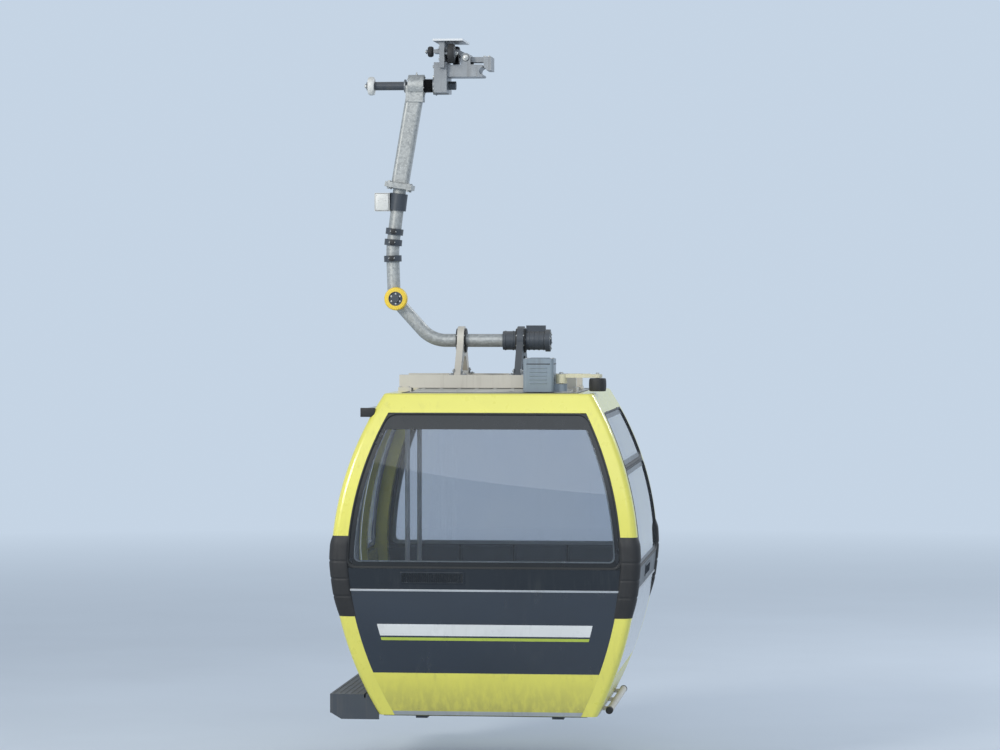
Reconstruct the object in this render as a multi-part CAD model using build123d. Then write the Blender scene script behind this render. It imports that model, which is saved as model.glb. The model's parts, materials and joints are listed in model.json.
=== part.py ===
from build123d import *
import math
import os

# Ropeway cabin for eight people with its hanger and detachable grip, in millimetres.
# Origin: centre of the rope between the grip's jaws. +Z up, +Y along the rope away from the viewer,
# +X towards the tower. The hanger and the doors are on the -X side.

# Rope and hang
rope_radius = 26
rope_to_roof = 2240
cabin_offset = 110

# Cabin body, heights above its underside
cabin_height = 2200
belt_height = 1060
belt_radius = 700
floor_top = 110
skirt_top = 300
rail_below_belt, rail_height = 40, 140
rim_depth = 130
vent_height, vent_gap = 380, 5
roof_sheet = 60
roof_crown = 26
dome_margin_x, dome_margin_y = 60, 30

# Half widths across X, and half lengths along Y
side_belt, side_roof, side_floor = 1046, 715, 750
end_belt, end_roof, end_floor = 1066, 790, 812
side_upper_bulge, side_lower_bulge = 80, 58
end_upper_bulge, end_lower_bulge = 60, 44

# Walls and joints between panels
wall = 40
post_width = 112
corner_round = 46
rim_round = 22
seam = 0.3
glass_thick = 8
glass_recess = 9

# Corner bumpers
bumper_drop, bumper_rise = 370, 180
bumper_proud, bumper_spread = 14, 6
bumper_end_round = 40

# Doors
door_opening = 800
portal_width = 56
sill_height = 150
door_gap = 6
door_thick = 36
door_overlap = 22
door_meeting_gap = 6
door_head_gap = 40
door_frame = 58
door_rail_low, door_rail_height = 660, 100
door_travel = 400
leaf_joints = (0.34, 0.627, 0.883)
tongue_thick, tongue_length, tongue_inset = 10, 60, 70
tongue_clear = 0.4
tongue_bite, tongue_up, tongue_down = 12, 48, 34
track_lift, track_height, track_depth = 12, 56, 64
track_spare, track_floor_gap = 20, 4
step_half, step_thick, step_low, step_below_door = 800, 42, -34, 12
lip_thick, lip_height = 14, 130
gusset_thick, gusset_foot = 20, 260
gusset_ys = (-790, -400, 0, 400, 790)

# Underframe and the guide rail at the foot of the tower side
beam_xs, long_beam_width = (-470, 470), 80
cross_ys, cross_width = (-520, 0, 520), 70
beam_end_gap, cross_end_gap = 130, 90
rail_reach, rail_z, rail_radius = 74, 34, 24
rail_end_gap = 120
rail_arm, rail_arm_bite = 24, 20
rail_arm_ys = (-560, 0, 560)

# Benches and poles
seat_height, seat_depth, seat_count, seat_gap = 450, 440, 4, 12
cushion_thick, board_thick, board_setback = 44, 46, 40
back_height, back_thick, back_gap = 610, 40, 12
back_belt_gap = 45
seat_round = 14
leg_inset, leg_width, leg_front = 160, 40, 120
pole_y, pole_radius, pole_gap = 330, 17, 9

# Roof frame and the brackets for the hanger's foot
beam_height, beam_width, beam_y = 90, 80, 250
beam_x0, beam_x1 = -675, 560
bracket_xs = (-270, 150)
bracket_thick, bracket_beam_width = 46, 70
pad_width, pad_length, pad_inset, pad_bite = 90, 120, 40, 4
bush_outer, bush_wall, bush_proud, fit_gap = 84, 16, 12, 0.2
bracket_foot, bracket_shoulder = 286, 92
slot_foot, slot_head, slot_rise, slot_below = 170, 52, 24, 108

# Damper on the end of the hanger's foot
damper_radius, damper_gap, damper_sleeve, damper_length = 66, 14, 90, 170
damper_cap_radius, damper_cap, damper_fin = 78, 34, 40

# Door drive and lever
drive_x0, drive_x1, drive_half, drive_low, drive_high = 225, 435, 110, 8, 235
drive_round = 24
shaft_x, shaft_y, shaft_radius = 480, -530, 16
bearing_radius, bearing_top = 40, 60
arm_reach, arm_half, arm_low, arm_high = 250, 24, 104, 128
door_roller_radius, door_roller_low, door_roller_high, door_roller_bore = 60, 11, 101, 15.2

# Hanger
hanger_top_x, hanger_top_z = -490, -150
flange_x, flange_z = -600, -800
upper_width, upper_depth, upper_round = 120, 100, 26
lower_tube_radius = 46
flange_size, flange_thick = 190, 18
elbow_points = ((-652, -1240), (-640, -1590))
elbow_radii = (900, 210, 230)
last_bend_x = -372
foot_height = 353
foot_end = 380
head_radius, head_width, head_x = 78, 110, -480
neck_half, neck_drop = 61, 60
roller_radius, roller_width, roller_bore, roller_gap = 82, 60, 14.3, 8
roller_out, roller_down = 24, 4
cap_radius, cap_thick = 24, 6

# Clamps and box on the hanger, at these shares of the bent tube's length
collar_radius, collar_width, box_clamp_width = 62, 44, 120
box_share, collar_shares = 0.05, (0.16, 0.2, 0.26)
box_reach, box_width, box_depth, box_height = 108, 106, 104, 128

# Grip
pivot_x, pivot_z, pivot_radius = -400, -96, 30
pivot_in, guide_x, guide_radius, guide_width, guide_shaft = -200, -775, 66, 46, 20
jaw_length, jaw_back, jaw_low, jaw_high = 240, -330, -40, 44
saddle_x0, saddle_x1, saddle_half, saddle_low, saddle_top = -340, -250, 150, -150, 60
boss_radius, boss_end = 64, -360
lever_pin_x, lever_pin_z, lever_pin_radius = -120, 92, 16
ear_y, ear_thick, ear_radius, ear_low = 105, 30, 34, 30
hub_radius, hub_half = 32, 88
lever_arm_low, lever_arm_high, lever_half = 130, 156, 70
jaw_face, jaw_outer, jaw_foot, jaw_head, jaw_half = 6, 58, 4, 100, 110
bridge_low = 64
wheel_radius, wheel_width, axle_radius, axle_stop = 70, 46, 14, 8
wheel_x, wheel_y, wheel_z = -215, 150, 120
cheek_x0, cheek_x1, cheek_low, cheek_in, cheek_out = -296, -262, 20, 110, 185
plate_gap, plate_thick, plate_x0, plate_x1, plate_half = 15, 14, -340, -130, 220
pusher_x, pusher_radius, pusher_width, pusher_shaft = -380, 38, 38, 10
spring_x, spring_y, spring_radius, disc_count, disc_share = -290, 40, 28, 5, 0.74
pin_gap = 0.05

head_height = cabin_height - rim_depth
vent_low = head_height - vent_height
belt_high = belt_height - rail_below_belt
belt_low = belt_high - rail_height
door_bottom = sill_height
door_top = head_height - door_head_gap
rope_to_floor = rope_to_roof + cabin_height
big = 4000
ends = (("uphill", -1), ("downhill", 1))


def block(x0, x1, y0, y1, z0, z1):
    return Pos((x0 + x1) / 2, (y0 + y1) / 2, (z0 + z1) / 2) * Box(x1 - x0, y1 - y0, z1 - z0)


def centred(x, y, z0, z1, width, depth):
    """Upright block of that width (X) and depth (Y) about a point, between two heights."""
    return Pos(x, y, (z0 + z1) / 2) * Box(width, depth, z1 - z0)


def band(z0, z1):
    return block(-big, big, -big, big, z0, z1)


def rod(axis, radius, centre, length):
    """Round bar of that length, centred on the point and lying along the named axis."""
    turn = {"x": Rot(0, 90, 0), "y": Rot(90, 0, 0), "z": Rot(0, 0, 0)}[axis]
    return Pos(*centre) * turn * Cylinder(radius, length)


def bar_x(radius, x0, x1, y, z):
    return rod("x", radius, ((x0 + x1) / 2, y, z), abs(x1 - x0))


def bar_z(radius, x, y, z0, z1):
    return rod("z", radius, (x, y, (z0 + z1) / 2), z1 - z0)


def tube(axis, outer, inner, centre, length):
    return rod(axis, outer, centre, length) - rod(axis, inner, centre, length * 2)


def plate_xz(points, y, thick):
    """Flat plate with that outline in X and Z, centred on y."""
    face = Plane.XZ.offset(-y) * make_face(Polyline(*points, close=True))
    return extrude(face, amount=thick / 2, both=True)


def plate_yz(points, x, thick):
    face = Plane.YZ.offset(x) * make_face(Polyline(*points, close=True))
    return extrude(face, amount=thick / 2, both=True)


def arc_at(z, low, high, bulge):
    """Half width at height z on the arc from low to high, each (half width, height)."""
    chord = math.dist(low, high)
    radius = (chord**2 / 4 + bulge**2) / (2 * bulge)
    mid = ((low[0] + high[0]) / 2, (low[1] + high[1]) / 2)
    across = ((high[1] - low[1]) / chord, (low[0] - high[0]) / chord)
    centre = [mid[i] - across[i] * (radius - bulge) for i in (0, 1)]
    return centre[0] + math.sqrt(radius**2 - (z - centre[1]) ** 2)


def half_at(z, floor, belt, roof, lower_bulge, upper_bulge):
    if z > belt_height:
        return arc_at(z, (belt, belt_height), (roof, cabin_height), upper_bulge)
    return arc_at(z, (floor, 0), (belt, belt_height), lower_bulge)


def side_at(z):
    return half_at(z, side_floor, side_belt, side_roof, side_lower_bulge, side_upper_bulge)


def end_at(z):
    return half_at(z, end_floor, end_belt, end_roof, end_lower_bulge, end_upper_bulge)


def barrel(plane, floor, belt, roof, lower_bulge, upper_bulge, inset):
    """Bar with the body's outline, each side moved in by the inset. It runs far past the body."""
    a, b, c = floor - inset, belt - inset, roof - inset
    upper, lower = [], []
    for sign in (1, -1):
        lower.append(SagittaArc((sign * a, 0), (sign * b, belt_height), -sign * lower_bulge))
        upper.append(SagittaArc((sign * b, belt_height), (sign * c, cabin_height), -sign * upper_bulge))
    ends = [Line((-a, 0), (a, 0)), Line((-c, cabin_height), (c, cabin_height))]
    face = make_face(Curve() + [*lower, *upper, *ends])
    belts = [v for v in face.vertices() if abs(v.Y - belt_height) < 1]
    face = fillet(belts, belt_radius)
    return extrude(plane * face, amount=big, both=True)


def side_barrel(inset=0.0):
    bulges = (side_lower_bulge, side_upper_bulge)
    return barrel(Plane.XZ, side_floor, side_belt, side_roof, *bulges, inset)


def end_barrel(inset=0.0):
    bulges = (end_lower_bulge, end_upper_bulge)
    return barrel(Plane.YZ, end_floor, end_belt, end_roof, *bulges, inset)


def skin(kind, outer, inner):
    """Wall of a barrel between two insets."""
    return kind(outer) - kind(inner)


def is_corner(edge):
    c = edge.center()
    return abs(c.X) > side_roof / 2 and abs(c.Y) > end_roof / 2 and 1 < c.Z < cabin_height - 1


def flipped(shape, way):
    """The shape, or its mirror image at the uphill end."""
    return mirror(shape, about=Plane.XZ) if way < 0 else shape


def cabin(shape, name):
    save(Pos(cabin_offset, 0, -rope_to_floor) * shape, name)


def save(shape, name):
    solids = shape.solids()
    out = solids[0] if len(solids) == 1 else Compound(children=list(solids))
    export_step(out, f"parts/{name}.step")


os.makedirs("parts", exist_ok=True)

# Body envelope
envelope = side_barrel() & end_barrel()
envelope = fillet(envelope.edges().filter_by(is_corner), corner_round)
envelope = fillet(envelope.edges().filter_by(lambda e: e.center().Z > cabin_height - 1), rim_round)
post_ends = end_barrel(post_width)
post_sides = side_barrel(post_width)
between_posts = end_barrel(post_width + seam)
between_sides = side_barrel(post_width + seam)
tower_half = block(0, big, -big, big, 0, cabin_height)
door_half = block(-big, 0, -big, big, 0, cabin_height)

# Floor, posts and roof
floor_long = between_sides & end_barrel(wall + seam)
floor_wide = between_posts & side_barrel(wall + seam)
cabin((floor_long + floor_wide) & band(0, floor_top), "floor_pan")
posts = (envelope & band(0, head_height)) - post_ends - post_sides
cabin(posts, "corner_posts")
rim = (envelope & band(head_height, cabin_height)) - (post_ends & post_sides)
cabin(rim, "roof_rim")
dome_x, dome_y = side_roof - post_width, end_roof - post_width
dome_radius = (dome_y**2 + roof_crown**2) / (2 * roof_crown)
dome = rod("x", dome_radius, (0, 0, cabin_height + roof_crown - dome_radius), big)
cap_x, cap_y = dome_x - dome_margin_x, dome_y - dome_margin_y
roof = between_posts & between_sides & band(cabin_height - roof_sheet, cabin_height)
roof += block(-cap_x, cap_x, -cap_y, cap_y, cabin_height, cabin_height + roof_crown) & dome
cabin(roof, "roof_panel")

# Ends and tower side: skirt, dark lower panel, belt rail and window, each between the posts
end_wall = skin(end_barrel, 0, wall) & between_sides
end_glass = skin(end_barrel, glass_recess, glass_recess + glass_thick) & between_sides
tower_wall = skin(side_barrel, 0, wall) & between_posts & tower_half
tower_glass = skin(side_barrel, glass_recess, glass_recess + glass_thick) & between_posts & tower_half
cabin((end_wall & band(0, skirt_top)) + (tower_wall & band(0, skirt_top)), "skirts")
cabin((end_wall & band(belt_low, belt_high)) + (tower_wall & band(belt_low, belt_high)), "belt_rails")
cabin(end_wall & band(skirt_top, belt_low), "end_panels")
cabin(tower_wall & band(skirt_top, belt_low), "tower_side_panel")
cabin(end_glass & band(belt_high, head_height), "end_windows")
cabin(tower_glass & band(belt_high, vent_low), "tower_side_window")
cabin(tower_glass & band(vent_low + vent_gap, head_height), "vent_window")

# Door side: portal, sill and the fixed quarters beside the opening
door_wall = skin(side_barrel, 0, wall) & between_posts & door_half
door_glass = skin(side_barrel, glass_recess, glass_recess + glass_thick) & between_posts & door_half
portal_half = door_opening / 2 + portal_width
portal = door_wall & block(-big, 0, -portal_half, portal_half, 0, head_height)
portal -= block(-big, 0, -door_opening / 2, door_opening / 2, sill_height, head_height - portal_width)
cabin(portal, "door_portal")
quarter = block(-big, 0, portal_half + seam, big, 0, head_height)
quarters = quarter + mirror(quarter, about=Plane.XZ)
cabin(door_wall & quarters & band(0, belt_high), "quarter_panels")
cabin(door_glass & quarters & band(belt_high, head_height), "quarter_windows")

# Sliding doors outside the wall, hung in a track above and guided in the step below
door_skin = skin(side_barrel, -door_gap - door_thick, -door_gap)
pane_inset = -door_gap - (door_thick + glass_thick) / 2
door_pane = skin(side_barrel, pane_inset, pane_inset + glass_thick)
leaf_end = door_opening / 2 + door_overlap
leaf_area = block(-big, 0, door_meeting_gap / 2, leaf_end, door_bottom, door_top)
tongue_x = -side_at(door_top) - door_gap - door_thick / 2
sill_tongue_x = -side_at(door_bottom) - door_gap - door_thick / 2
tongue_ys = (door_meeting_gap / 2 + tongue_inset, leaf_end - tongue_inset)
tongues = (
    (tongue_x, door_top - tongue_bite, door_top + tongue_up),
    (sill_tongue_x, door_bottom - tongue_down, door_bottom + tongue_bite),
)
windows = (
    ("glass", door_rail_low + door_rail_height, door_top - door_frame),
    ("panel", door_bottom + door_frame, door_rail_low),
)
for end, way in ends:
    leaf = door_skin & leaf_area
    for kind, z0, z1 in windows:
        y0, y1 = door_frame, leaf_end - door_frame
        leaf -= block(-big, 0, y0, y1, z0, z1)
        pane = door_pane & block(-big, 0, y0 + seam, y1 - seam, z0 + seam, z1 - seam)
        cabin(flipped(pane, way), f"door_{kind}_{end}")
    for y in tongue_ys:
        for x, z0, z1 in tongues:
            leaf += centred(x, y, z0, z1, tongue_thick, tongue_length)
    for share in leaf_joints:
        joint_z = door_bottom + share * (door_top - door_bottom)
        leaf -= band(joint_z - seam / 2, joint_z + seam / 2)
    cabin(flipped(leaf, way), f"door_leaf_{end}")

slot = tongue_thick / 2 + tongue_clear
track_half = leaf_end + door_travel + track_spare
track_low = door_top + track_lift
track = skin(side_barrel, -track_depth, -seam)
track &= block(-big, 0, -track_half, track_half, track_low, track_low + track_height)
track -= block(tongue_x - slot, tongue_x + slot, -big, big, 0, door_top + tongue_up + track_floor_gap)
cabin(track, "door_track")

# Door step: a plate with a lip on gussets, and the slot that guides the doors' foot
step_top = door_bottom - step_below_door
step_out = -side_at(belt_height) - door_gap - door_thick
step = block(step_out, -side_floor, -step_half, step_half, step_top - step_thick, step_top)
step += block(step_out, step_out + lip_thick, -step_half, step_half, step_top - lip_height, step_top)
gusset = (
    (-side_floor - seam, step_low),
    (-side_floor - seam, step_top),
    (step_out + lip_thick / 2, step_top),
    (step_out + lip_thick / 2, step_top - lip_height),
    (-side_floor - gusset_foot, step_low),
)
for y in gusset_ys:
    step += plate_xz(gusset, y, gusset_thick)
slot_floor = door_bottom - tongue_down - track_floor_gap
step -= side_barrel(-seam)
step -= block(sill_tongue_x - slot, sill_tongue_x + slot, -big, big, slot_floor, door_bottom)
cabin(step, "door_step")

# Guide rail at the foot of the tower side
rail_x = side_floor + rail_reach
guide = rod("y", rail_radius, (rail_x, 0, rail_z), 2 * (end_floor - rail_end_gap))
for y in rail_arm_ys:
    arm = block(side_floor - rail_arm_bite, rail_x, y - rail_arm, y + rail_arm, rail_z - 12, rail_z + 12)
    guide += arm - side_barrel(-seam)
cabin(guide, "guide_rail")

# Underframe seen from below
underframe = Part()
for x in beam_xs:
    underframe += centred(x, 0, step_low, 0, long_beam_width, 2 * (end_floor - beam_end_gap))
for y in cross_ys:
    underframe += block(
        -side_floor + seam, side_floor - cross_end_gap, y - cross_width / 2, y + cross_width / 2, step_low, 0
    )
cabin(underframe, "underframe")

# Corner bumpers: dark pads on the posts at the belt
pad = side_barrel(-bumper_proud) & end_barrel(-bumper_proud)
pad = fillet(pad.edges().filter_by(is_corner), corner_round + bumper_proud)
pad_core = side_barrel(-seam) & end_barrel(-seam)
pad_core = fillet(pad_core.edges().filter_by(is_corner), corner_round)
pads = (pad & band(belt_height - bumper_drop, belt_height + bumper_rise)) - pad_core
pads -= side_barrel(post_width + bumper_spread)
pads -= end_barrel(post_width + bumper_spread)
cabin(pads, "corner_bumpers")

# Benches along both ends, four seats each
seat_low = seat_height - cushion_thick
bench_low = seat_low - board_thick
bench_back = end_at(bench_low) - wall - back_gap
bench_front = bench_back - seat_depth
leg_rear = end_at(floor_top) - wall - back_gap
bench_half = side_at(bench_low) - post_width - back_gap
back_top = seat_height + back_height
back_top_y = end_at(back_top) - wall - back_belt_gap
seat_width = (2 * bench_half - (seat_count - 1) * seat_gap) / seat_count
seat_profile = (
    (bench_front, seat_low),
    (bench_back, seat_low),
    (back_top_y, back_top),
    (back_top_y - back_thick, back_top),
    (bench_back - back_thick, seat_height),
    (bench_front, seat_height),
)
for end, way in ends:
    bench = block(-bench_half, bench_half, bench_front + board_setback, bench_back, bench_low, seat_low)
    for x in (leg_inset - bench_half, bench_half - leg_inset):
        x0, x1 = x - leg_width / 2, x + leg_width / 2
        bench += block(x0, x1, bench_front + leg_front, leg_rear, floor_top, bench_low)
    seats = Part()
    for i in range(seat_count):
        x = -bench_half + seat_width / 2 + i * (seat_width + seat_gap)
        seat = plate_yz(seat_profile, x, seat_width)
        seats += fillet(seat.edges().filter_by(Axis.X), seat_round)
    cabin(flipped(bench, way), f"bench_{end}")
    cabin(flipped(seats, way), f"seats_{end}")

# Grab poles beside the door, floor to roof
pole_top = cabin_height - roof_sheet
pole_x = pole_radius + pole_gap - (side_at(pole_top) - post_width)
poles = [bar_z(pole_radius, pole_x, way * pole_y, floor_top, pole_top) for end, way in ends]
cabin(Part() + poles, "grab_poles")

# Roof frame: two beams across the cabin, joined by two along it
beam_low = cabin_height + roof_crown
beam_high = beam_low + beam_height
frame = Part()
for y in (-beam_y, beam_y):
    frame += block(beam_x0, beam_x1, y - beam_width / 2, y + beam_width / 2, beam_low, beam_high)
    for x in (beam_x0 + pad_inset, beam_x1 - pad_inset):
        frame += centred(x, y, cabin_height, beam_low + pad_bite, pad_width, pad_length)
for x in bracket_xs:
    frame += centred(x, 0, beam_low, beam_high, bracket_beam_width, 2 * beam_y)
cabin(frame - roof, "roof_frame")

# Brackets that hold the hanger's foot through rubber bushes
foot_z = cabin_height + foot_height
bushes = Part()
bracket_outline = (
    (-bracket_foot, beam_high),
    (bracket_foot, beam_high),
    (bracket_shoulder, foot_z),
    (-bracket_shoulder, foot_z),
)
bracket_slot = (
    (-slot_foot, beam_high + slot_rise),
    (slot_foot, beam_high + slot_rise),
    (slot_head, foot_z - slot_below),
    (-slot_head, foot_z - slot_below),
)
for x, name in zip(bracket_xs, ("outer", "inner")):
    bracket = plate_yz(bracket_outline, x, bracket_thick) - plate_yz(bracket_slot, x, 2 * bracket_thick)
    bracket += rod("x", bush_outer + bush_wall, (x, 0, foot_z), bracket_thick)
    bracket -= rod("x", bush_outer, (x, 0, foot_z), big)
    cabin(bracket, f"hanger_bracket_{name}")
    bush_length = bracket_thick + 2 * bush_proud
    bushes += tube("x", bush_outer - fit_gap, lower_tube_radius + fit_gap, (x, 0, foot_z), bush_length)
cabin(bushes, "rubber_bushes")

# Damper housing on the end of the hanger's foot, on both sides of the inner bracket
damper_in = bracket_xs[1] - bracket_thick / 2 - damper_gap
damper_out = bracket_xs[1] + bracket_thick / 2 + damper_gap
damper_end = damper_out + damper_length
damper = bar_x(damper_radius, damper_in - damper_sleeve, damper_in, 0, foot_z)
damper += bar_x(damper_radius, damper_out, damper_end, 0, foot_z)
damper += bar_x(damper_cap_radius, damper_end - damper_cap, damper_end, 0, foot_z)
fin_top = foot_z + damper_radius + damper_fin
damper += block(damper_out, damper_end - damper_cap, -damper_fin / 2, damper_fin / 2, foot_z, fin_top)
damper -= bar_x(lower_tube_radius + fit_gap, -big, foot_end - cabin_offset, 0, foot_z)
cabin(damper, "damper")

# Door drive on the roof, and the lever that the station pushes
drive = block(drive_x0, drive_x1, shaft_y - drive_half, shaft_y + drive_half, drive_low, drive_high)
drive = fillet(drive.edges().filter_by(Axis.Z), drive_round)
bearing_y0, bearing_y1 = shaft_y - bearing_radius, shaft_y + bearing_radius
drive += block(drive_x1 - bearing_radius, shaft_x, bearing_y0, bearing_y1, drive_low, bearing_top)
drive += bar_z(bearing_radius, shaft_x, shaft_y, drive_low, bearing_top)
drive -= bar_z(shaft_radius + fit_gap / 2, shaft_x, shaft_y, 0, big)
cabin(Pos(0, 0, cabin_height) * drive - roof, "door_drive")
roller_x = shaft_x + arm_reach
lever = block(shaft_x, roller_x, shaft_y - arm_half, shaft_y + arm_half, arm_low, arm_high)
lever += bar_z(bearing_radius, shaft_x, shaft_y, bearing_top + 6, arm_high)
lever += bar_z(shaft_radius, shaft_x, shaft_y, drive_low + roof_crown, arm_high)
lever += bar_z(shaft_radius * 2, roller_x, shaft_y, arm_low, arm_high)
lever += bar_z(shaft_radius - 1, roller_x, shaft_y, door_roller_low, arm_high)
cabin(Pos(0, 0, cabin_height) * lever, "door_lever")
door_roller = bar_z(door_roller_radius, roller_x, shaft_y, door_roller_low, door_roller_high)
door_roller -= bar_z(door_roller_bore, roller_x, shaft_y, 0, big)
cabin(Pos(0, 0, cabin_height) * door_roller, "door_roller")

# Hanger: flanged upper tube, then a bent tube that comes back over the roof
foot_row_z = -rope_to_floor + foot_z
upper_length = math.dist((hanger_top_x, hanger_top_z), (flange_x, flange_z))
lean = math.degrees(math.atan2(hanger_top_x - flange_x, hanger_top_z - flange_z))
upper = Box(upper_width, upper_depth, upper_length)
upper = fillet(upper.edges().filter_by(Axis.Z), upper_round)
upper = Pos((hanger_top_x + flange_x) / 2, 0, (hanger_top_z + flange_z) / 2) * Rot(0, lean, 0) * upper
flange = Box(flange_size, flange_size, flange_thick)
flange_place = Pos(flange_x, 0, flange_z) * Rot(0, lean, 0)
head = rod("x", head_radius, (head_x, 0, pivot_z), head_width)
neck_x0, neck_x1 = hanger_top_x - neck_half, hanger_top_x + neck_half
head += block(neck_x0, neck_x1, -neck_half, neck_half, hanger_top_z - neck_drop, pivot_z)
hanger_upper = upper + flange_place * Pos(0, 0, flange_thick / 2) * flange + head
hanger_upper -= rod("x", pivot_radius + pin_gap, (0, 0, pivot_z), big)
save(hanger_upper, "hanger_upper")
path = FilletPolyline(
    (flange_x, flange_z - flange_thick),
    *elbow_points,
    (last_bend_x, foot_row_z),
    (foot_end, foot_row_z),
    radius=list(elbow_radii),
)
spine = Plane.XZ * path
start = Plane(origin=spine @ 0, z_dir=spine % 0)
lower = sweep(start * Circle(lower_tube_radius), path=spine)
save(lower + flange_place * Pos(0, 0, -flange_thick / 2) * flange, "hanger_lower")

# Yellow guide roller on the outside of the elbow
elbow_x, elbow_z = elbow_points[1][0] + roller_out, elbow_points[1][1] - roller_down
roller_y = -(lower_tube_radius + roller_gap + roller_width / 2)
save(tube("y", roller_radius, roller_bore, (elbow_x, roller_y, elbow_z), roller_width), "elbow_roller")
cap_y = roller_y - roller_width / 2 - cap_thick
elbow_pin = rod("y", roller_bore - fit_gap, (elbow_x, cap_y / 2, elbow_z), -cap_y)
elbow_pin += rod("y", cap_radius, (elbow_x, cap_y, elbow_z), cap_thick)
save(elbow_pin - lower, "elbow_pin")

# Clamps on the hanger under the flange; the top one holds a box on the outboard side
box_place = Plane(origin=spine @ box_share, z_dir=spine % box_share)
box_clamp = box_place * Cylinder(collar_radius, box_clamp_width)
box_centre = spine @ box_share - Vector(box_reach, 0, 0)
save(Pos(*box_centre) * Box(box_width, box_depth, box_height) - box_clamp, "hanger_box")
collars = Part() + (box_clamp - lower)
for share in collar_shares:
    place = Plane(origin=spine @ share, z_dir=spine % share)
    collars += place * Cylinder(collar_radius, collar_width) - lower
save(collars, "hanger_collars")

# Grip: fixed jaw and body on the outboard side of the rope
body = block(jaw_back, 0, -jaw_length / 2, jaw_length / 2, jaw_low, jaw_high)
body = fillet(body.edges().filter_by(Axis.Y), 10)
body += block(saddle_x0, saddle_x1, -saddle_half, saddle_half, saddle_low, saddle_top)
body += bar_x(boss_radius, boss_end, saddle_x1, 0, pivot_z)
plate_low = wheel_z + wheel_radius + plate_gap
axle_out = wheel_x + wheel_width / 2 + axle_stop
for end, way in ends:
    ear = (lever_pin_x, way * ear_y, lever_pin_z)
    body += centred(lever_pin_x, way * ear_y, ear_low, lever_pin_z, 2 * ear_radius, ear_thick)
    body += rod("y", ear_radius, ear, ear_thick)
    cheek = block(cheek_x0, cheek_x1, cheek_in, cheek_out, cheek_low, plate_low)
    body += flipped(cheek, way)
    body += bar_x(axle_radius, cheek_x0, axle_out, way * wheel_y, wheel_z)
    body += bar_x(axle_radius + axle_stop, axle_out - axle_stop / 2, axle_out, way * wheel_y, wheel_z)
body -= rod("y", rope_radius, (0, 0, 0), big)
body -= rod("y", lever_pin_radius + pin_gap, (lever_pin_x, 0, lever_pin_z), 2 * jaw_length)
body -= bar_x(pivot_radius + pin_gap, -big, pivot_in, 0, pivot_z)
save(body, "grip_body")
plate = block(plate_x0, plate_x1, -plate_half, plate_half, plate_low, plate_low + plate_thick)
save(plate, "friction_plate")

# Pivot pin of the hanger, which runs on out to a white guide roller
pin_out = guide_x - guide_width - 2 * cap_thick
pin = bar_x(pivot_radius, guide_x, pivot_in, 0, pivot_z)
pin += bar_x(guide_shaft, pin_out, guide_x, 0, pivot_z)
pin += bar_x(pivot_radius, pin_out, pin_out + cap_thick, 0, pivot_z)
save(pin, "hanger_pin")
guide_roller = bar_x(guide_radius, guide_x - guide_width - 2, guide_x - 2, 0, pivot_z)
save(guide_roller - bar_x(guide_shaft + fit_gap / 2, -big, 0, 0, pivot_z), "guide_roller")

# Clamp lever: moving jaw over the rope, hub on the pin, and the arm that the station pushes down
lever = block(jaw_face, jaw_outer, -jaw_half, jaw_half, jaw_foot, jaw_head)
lever += block(lever_pin_x, jaw_outer, -lever_half, lever_half, bridge_low, jaw_head)
lever += rod("y", hub_radius, (lever_pin_x, 0, lever_pin_z), 2 * hub_half)
arm_end = pusher_x + pusher_width / 2 + pusher_shaft
arm_outline = (
    (lever_pin_x, lever_pin_z - hub_radius / 2),
    (lever_pin_x, lever_pin_z + hub_radius),
    (lever_pin_x - 2 * hub_radius, lever_arm_high),
    (arm_end, lever_arm_high),
    (arm_end, lever_arm_low),
    (lever_pin_x - 2 * hub_radius, lever_arm_low),
)
lever += plate_xz(arm_outline, 0, 2 * lever_half)
pusher_z = (lever_arm_low + lever_arm_high) / 2
pusher_end = pusher_x - pusher_width / 2 - cap_thick
lever += bar_x(pusher_shaft, pusher_end, arm_end, 0, pusher_z)
lever += bar_x(pusher_shaft + cap_thick, pusher_end - cap_thick, pusher_end, 0, pusher_z)
lever -= rod("y", rope_radius, (0, 0, 0), big)
lever -= rod("y", lever_pin_radius + pin_gap, (lever_pin_x, 0, lever_pin_z), 2 * jaw_length)
save(lever, "clamp_lever")
pin_half = ear_y + ear_thick / 2 + 2
clamp_pin = rod("y", lever_pin_radius, (lever_pin_x, 0, lever_pin_z), 2 * pin_half)
for end, way in ends:
    cap_at = (lever_pin_x, way * (pin_half + cap_thick / 2), lever_pin_z)
    clamp_pin += rod("y", cap_radius, cap_at, cap_thick)
save(clamp_pin, "clamp_pin")
pusher = tube("x", pusher_radius, pusher_shaft + fit_gap / 2, (pusher_x, 0, pusher_z), pusher_width)
save(pusher, "pusher_roller")
springs = Part()
spring_room = lever_arm_low - saddle_top - 2 * fit_gap
pitch = spring_room / disc_count
for end, way in ends:
    spring_low = saddle_top + fit_gap
    for i in range(disc_count):
        low = spring_low + i * pitch
        springs += bar_z(spring_radius, spring_x, way * spring_y, low, low + disc_share * pitch)
    springs += bar_z(spring_radius / 2, spring_x, way * spring_y, spring_low, spring_low + spring_room)
save(springs, "clamp_springs")
for end, way in ends:
    wheel = rod("x", wheel_radius, (wheel_x, way * wheel_y, wheel_z), wheel_width)
    wheel -= rod("x", axle_radius + pin_gap, (wheel_x, way * wheel_y, wheel_z), 2 * wheel_width)
    save(wheel, f"running_wheel_{end}")
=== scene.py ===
import json
import math
import random

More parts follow.
